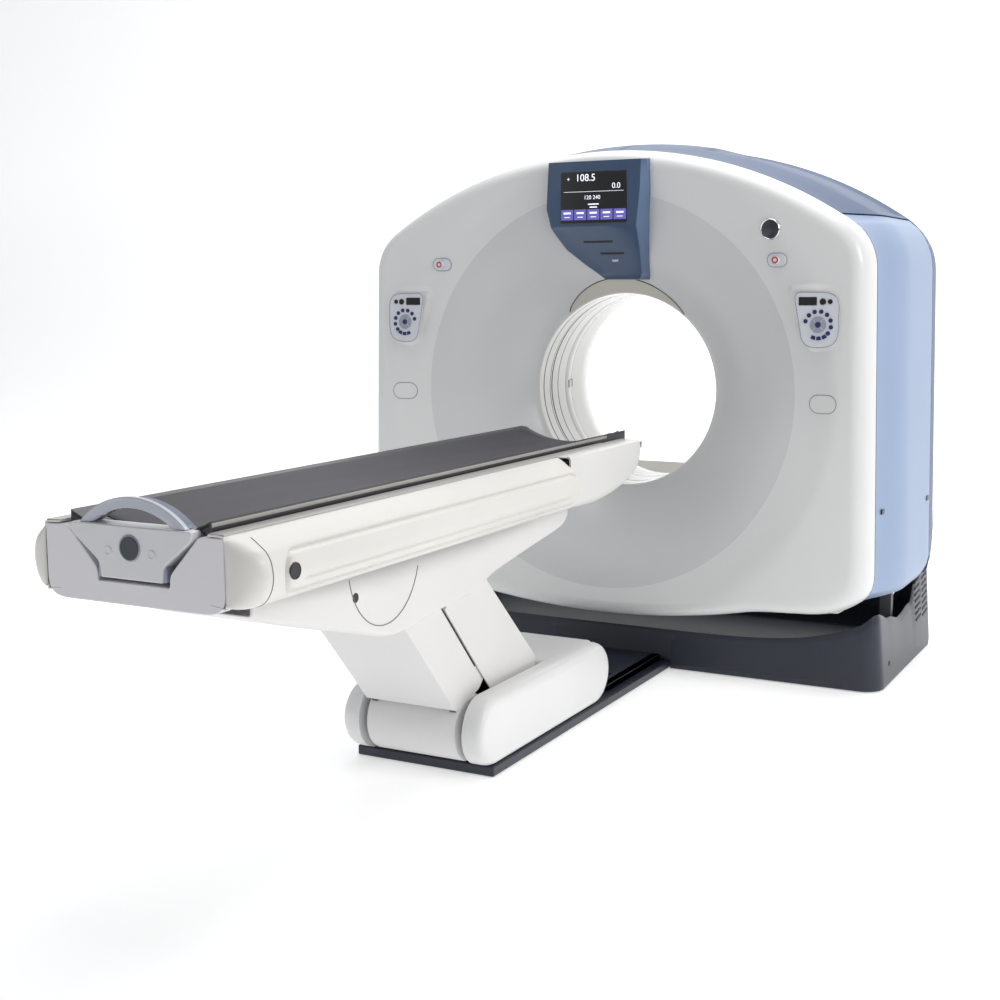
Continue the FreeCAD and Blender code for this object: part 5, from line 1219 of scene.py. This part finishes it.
def arm_covers():
    """Soft-edged sheaths over the lift arms and the roll at the front pivot."""
    cos, sin = math.cos(ARM_ANGLE), math.sin(ARM_ANGLE)

    def at(along, across, origin=(FOOT_Y, FOOT_Z)):
        return origin[0] - along * cos + across * sin, origin[1] + along * sin + across * cos

    outline = rounded([at(0.108, -0.020), at(0.660, -0.020), at(0.660, 0.080), at(0.570, 0.146),
                       at(0.500, 0.168), at(0.400, 0.178), at(0.045, 0.186), at(0.045, 0.100)],
                      [0.012, 0.01, 0.03, 0.04, 0.04, 0.04, 0.01, 0.01], 8)
    sheath("front_arm_skin", "front_arm_cover", "front_arm", outline, 0.1465, 0.014, 1)
    low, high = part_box("front_arm_roll")
    centre = ((low.x + high.x) / 2, FOOT_Y, FOOT_Z)
    half = (high.x - low.x) / 2
    end = [(half - 0.008, 0.0968), (half - 0.002, 0.0945), (half, 0.089), (half, 0.060)]
    profile = [(-x, radius) for x, radius in reversed(end)] + end
    roll = lathe("front_roll_skin", profile, LIFT, centre, "x", steps=96)
    finish_piece(roll, "front_arm", "cover_white", "front_arm_roll")
    base = (HEAD_Y, FOOT_Z)
    outline = rounded([at(0.006, 0.150, base), at(0.580, 0.104, base), at(0.580, -0.088, base),
                       at(0.091, -0.088, base), at(0.006, 0.0, base)], [0.04, 0.02, 0.004, 0.004, 0.02], 8)
    sheath("rear_arm_skin", "rear_arm_cover", "rear_arm", outline, 0.1535, 0.016, -1)
    for name, side in SIDES:
        # A dark strip along the front arm's side where the rear cover's step lies: painted shadow of the step.
        shape = [at(0.115, 0.1295), at(0.530, 0.1295), at(0.530, 0.1350), at(0.115, 0.1350)]
        shade_strip = plate(f"arm_step_shadow_{name}", shape, side * 0.1455, side * 0.1472, SEAM_AND_SHADE, "yz", 0.0002)
        finish_piece(shade_strip, "front_arm", "cover_white")


def base_shells():
    """Round-ended white shells on the base plate, with the cover between them at the back."""
    for name, side in SIDES:
        low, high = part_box(f"base_shell_{name}")
        radius = (high.z - low.z) / 2
        middle = (high.z + low.z) / 2
        centre_y, half_long = (high.y + low.y) / 2, (high.y - low.y) / 2
        outline = stadium(half_long, radius, 24, (centre_y, middle))
        rows = []
        outer = max(abs(low.x), abs(high.x))
        inner = min(abs(low.x), abs(high.x))
        for x, shrink in ((inner, 0.006), (inner, 0.0), (inner + 0.012, 0.0), (outer - 0.030, 0.0),
                          (outer - 0.018, 0.0018), (outer - 0.009, 0.0058), (outer - 0.003, 0.012),
                          (outer - 0.0004, 0.021), (outer, 0.034)):
            rows.append([(side * x, centre_y + (y - centre_y) * (1 - shrink / half_long),
                          middle + (z - middle) * (1 - shrink / radius)) for y, z in outline])
        made = capped(f"base_shell_{name}_skin", rows, BASE_WHITE, 50)
        finish_piece(made, "base", "cover_white", f"base_shell_{name}")
    low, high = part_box("base_rear_cover")
    outline = rounded([(low.y, low.z + 0.001), (low.y, high.z - 0.004), (high.y - 0.02, high.z - 0.004),
                       (high.y, high.z - 0.05), (high.y, low.z + 0.001)], [0.0, 0.02, 0.05, 0.04, 0.0])
    made = plate("base_rear_skin", outline, low.x + 0.001, high.x - 0.001, BASE_WHITE, "yz", 0.004, 3)
    finish_piece(made, "base", "cover_white", "base_rear_cover")


underbody()
arm_covers()
base_shells()


# ---- gantry base, base plate and pedals ---------------------------------------------------------

def skirt():
    """Navy base walls with rounded front corners, a dipped front, a rear horn and louvres."""
    half, depth, draft, wall = 0.990, 0.828, 0.022, 0.008
    notch = 0.236

    def top_height(x, y):
        if y <= 0.075:
            dip = min(1.0, abs(x) / 0.975)
            return 0.140 + (0.262 - 0.140) * dip ** 5
        profile = ((0.075, 0.258), (0.20, 0.226), (0.37, 0.196), (0.53, 0.212), (0.61, 0.290), (0.70, 0.355),
                   (0.74, 0.357), (0.83, 0.346))
        for (start, low), (end, high) in zip(profile, profile[1:]):
            if y <= end:
                return low + (high - low) * smoothstep((y - start) / (end - start))
        return 0.346

    path = []
    corner = 0.075
    for x in [0.0, 0.08, 0.16, notch - 0.001, notch] + between(notch + 0.02, half - corner, 29):
        path.append((x, 0.0, 0, -1))
    for step in range(1, 13):
        angle = math.radians(-90 + 90 * step / 12)
        nx, ny = math.cos(angle), math.sin(angle)
        path.append((half - corner + corner * nx, corner + corner * ny, nx, ny))
    for y in between(corner + 0.02, depth - 0.045, 46):
        path.append((half, y, 1, 0))
    for step in range(1, 9):
        angle = math.radians(90 * step / 8)
        nx, ny = math.cos(angle), math.sin(angle)
        path.append((half - 0.04 + 0.04 * nx, depth - 0.04 + 0.04 * ny, nx, ny))
    for x in between(half - 0.08, 0.0, 14):
        path.append((x, depth, 0, 1))
    pieces = []
    for mirror in (1, -1):
        rows = []
        for x, y, nx, ny in path:
            back = 0.182 + 0.163 * smoothstep((x - 0.862) / 0.06)
            high = top_height(x, y) if y < depth - 0.02 else back
            row = []
            for share in between(0.0, 1.0, 14):
                inward = draft * share
                foot = 0.033 if y < 0.001 and x < notch else 0.004
                z = foot + (high - foot) * share
                lip = 0.004 * max(0.0, (share - 0.97) / 0.03) + 0.003 * max(0.0, (0.03 - share) / 0.03)
                row.append((mirror * (x - nx * (inward + lip)), max(0.001, y - ny * (inward + lip)), z))
            inner = (mirror * (x - nx * (draft + wall)), max(0.001, y - ny * (draft + wall)))
            row += [(*inner, high - 0.001), (*inner, high - 0.05)]
            rows.append(row)
        made = grid(f"skirt_skin_{mirror + 1}", rows, NAVY, False, 45)
        pieces.append(made)
    finish_piece(pieces[0], "base", "base_navy", "gantry_base_skirt")
    finish_piece(pieces[1], "base", "base_navy")
    for name, side in SIDES:
        for column, start in enumerate((0.590, 0.690)):
            for row in range(8):
                z = 0.132 + row * 0.0235
                share = (z - 0.004) / (top_height(0.99, start + 0.04) - 0.004)
                out = half - draft * share
                end = start + 0.078
                shape = [(start, z), (end, z + 0.010), (end, z + 0.019), (start, z + 0.009)]
                slat = plate(f"louvre_{name}_{column}_{row}", rounded(shape, 0.003, 3), side * (out - 0.004),
                             side * (out + 0.0010), SEAM_AND_SHADE, "yz", 0.0006)
                finish_piece(slat, "base", "base_navy")
        profile = [(-0.003, 0.010), (0.0010, 0.0096), (0.0012, 0.0075), (0.0006, 0.0070), (0.0006, 0.0001)]
        screw = lathe(f"skirt_screw_{name}", profile, SEAM_AND_SHADE, (0.9835, 0, 0), "x", steps=24)
        finish_piece(sided(screw, side, 0.160, 0.072), "base", "base_navy")


def base_plate():
    """The navy base plate, and the channel towards the gantry."""
    low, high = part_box("table_base_plate")
    outline = box_outline(low.x, high.x, low.y, high.y)
    made = plate("base_plate_skin", outline, low.z + 0.001, high.z, NAVY, "xy", 0.005, 4)
    finish_piece(made, "base", "base_navy", "table_base_plate")
    low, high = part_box("pedal_channel")
    for index, (x0, x1) in enumerate(((low.x, low.x + 0.030), (high.x - 0.030, high.x))):
        shape = box_outline(x0, x1, low.y, high.y, [0.012, 0.012, 0.002, 0.002])
        rail = plate(f"channel_rail_{index}", shape, low.z - 0.001, high.z, NAVY, "xy", 0.005, 3)
        finish_piece(rail, "base", "base_navy")


def pedals():
    """Two ribbed foot switches."""
    for name, side in SIDES:
        low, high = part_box(f"foot_pedal_{name}")
        shape = rounded([(low.x + 0.002, low.y + 0.001), (high.x - 0.002, low.y + 0.001),
                         (high.x - 0.004, high.y - 0.012), (low.x + 0.004, high.y - 0.012)],
                        [0.016, 0.016, 0.008, 0.008], 6)
        made = plate(f"pedal_{name}_tread", shape, low.z + 0.001, high.z - 0.004, PEDAL, "xy", 0.004, 4)
        finish_piece(made, f"pedal_{name}", "pedal_grey", f"foot_pedal_{name}")
        for index in range(7):
            y = low.y + 0.014 + index * 0.012
            rib = plate(f"pedal_{name}_rib_{index}", stadium(0.028, 0.0022, 5, ((low.x + high.x) / 2, y)),
                        high.z - 0.005, high.z - 0.0018, PEDAL, "xy", 0.0009)
            finish_piece(rib, f"pedal_{name}", "pedal_grey")


skirt()
base_plate()
pedals()


# ---- what stays from the CAD --------------------------------------------------------------------

FINISHES = {
    "cover_white": WHITE, "cover_blue_light": BLUE_SIDE, "cover_blue_dark": BLUE_TOP, "bore_liner": LINER,
    "window_film": FILM, "bezel_slate": SLATE, "screen": BLACK, "panel_grey": PANEL, "stop_red": RED,
    "base_navy": NAVY, "pedal_grey": PEDAL, "frame_paint": FRAME, "bearing_steel": STEEL, "motor_grey": MOTOR,
    "copper_ring": BRASS, "module_metal": ALLOY, "wheel_rubber": RUBBER, "cradle_carbon": CARBON,
    "mat_cover": MAT, "block_grey": PANEL_GREY, "handle_clear": HANDLE,
}
for row in frame["record"]["subparts"]:
    held = frame["nodes"][row["node"]]
    for place in held.material_slots:
        place.material = FINISHES[row["material_slot"]]
    if not held.material_slots:
        held.data.materials.append(FINISHES[row["material_slot"]])


# ---- floor, light and camera --------------------------------------------------------------------

def studio():
    """Pale floor running up into a backdrop, soft lights from the right and above, and the camera."""
    floor = surface("studio_floor", (0.86, 0.86, 0.865), rough=0.7, tone=0.004, bump=0.01)
    glowing(floor, (1.0, 1.0, 1.0), 0.42)
    bend = 2.5
    turns = [math.radians(angle) for angle in range(6, 91, 6)]
    line = [(-9.0, 0.0), (3.5, 0.0)] + [(3.5 + bend * math.sin(a), bend - bend * math.cos(a)) for a in turns]
    line.append((3.5 + bend, 9.0))
    rows = [[(x, y, z) for x in between(-14.0, 12.0, 4)] for y, z in line]
    backdrop = grid("studio_sweep", rows, floor, False, 60)
    world = bpy.data.worlds.new("studio")
    bpy.context.scene.world = world
    world.use_nodes = True
    back = world.node_tree.nodes["Background"]
    back.inputs["Color"].default_value = (0.95, 0.97, 1.0, 1.0)
    back.inputs["Strength"].default_value = 0.34
    for name, place, aim, size, power, tint in (
            ("key", (5.2, -0.9, 3.2), (0.2, -0.6, 0.8), 2.0, 105, (1.0, 0.985, 0.96)),
            ("fill", (-3.8, -4.6, 3.2), (0.0, -0.6, 0.9), 3.2, 18, (0.93, 0.96, 1.0)),
            ("top", (0.2, -0.6, 5.0), (0.0, -0.6, 0.8), 3.0, 72, (1.0, 1.0, 1.0)),
            ("backdrop", (-0.5, 2.6, 6.5), (-0.5, 5.6, 0.0), 6.0, 260, (1.0, 1.0, 1.0))):
        data = bpy.data.lights.new(name, "AREA")
        data.shape = "SQUARE"
        data.size = size
        data.energy = power
        data.color = tint
        lamp = bpy.data.objects.new(name, data)
        bpy.context.scene.collection.objects.link(lamp)
        lamp.location = place
        lamp.rotation_euler = (Vector(aim) - Vector(place)).to_track_quat("-Z", "Y").to_euler()
    data = bpy.data.cameras.new("camera")
    data.lens = 52.3
    data.sensor_width = 36.0
    camera = bpy.data.objects.new("camera", data)
    bpy.context.scene.collection.objects.link(camera)
    camera.location = (2.100, -4.796, 1.364)
    camera.rotation_euler = (math.radians(81.73), math.radians(0.27), math.radians(28.02))
    bpy.context.scene.camera = camera
    bpy.context.scene.view_settings.view_transform = "Standard"


studio()
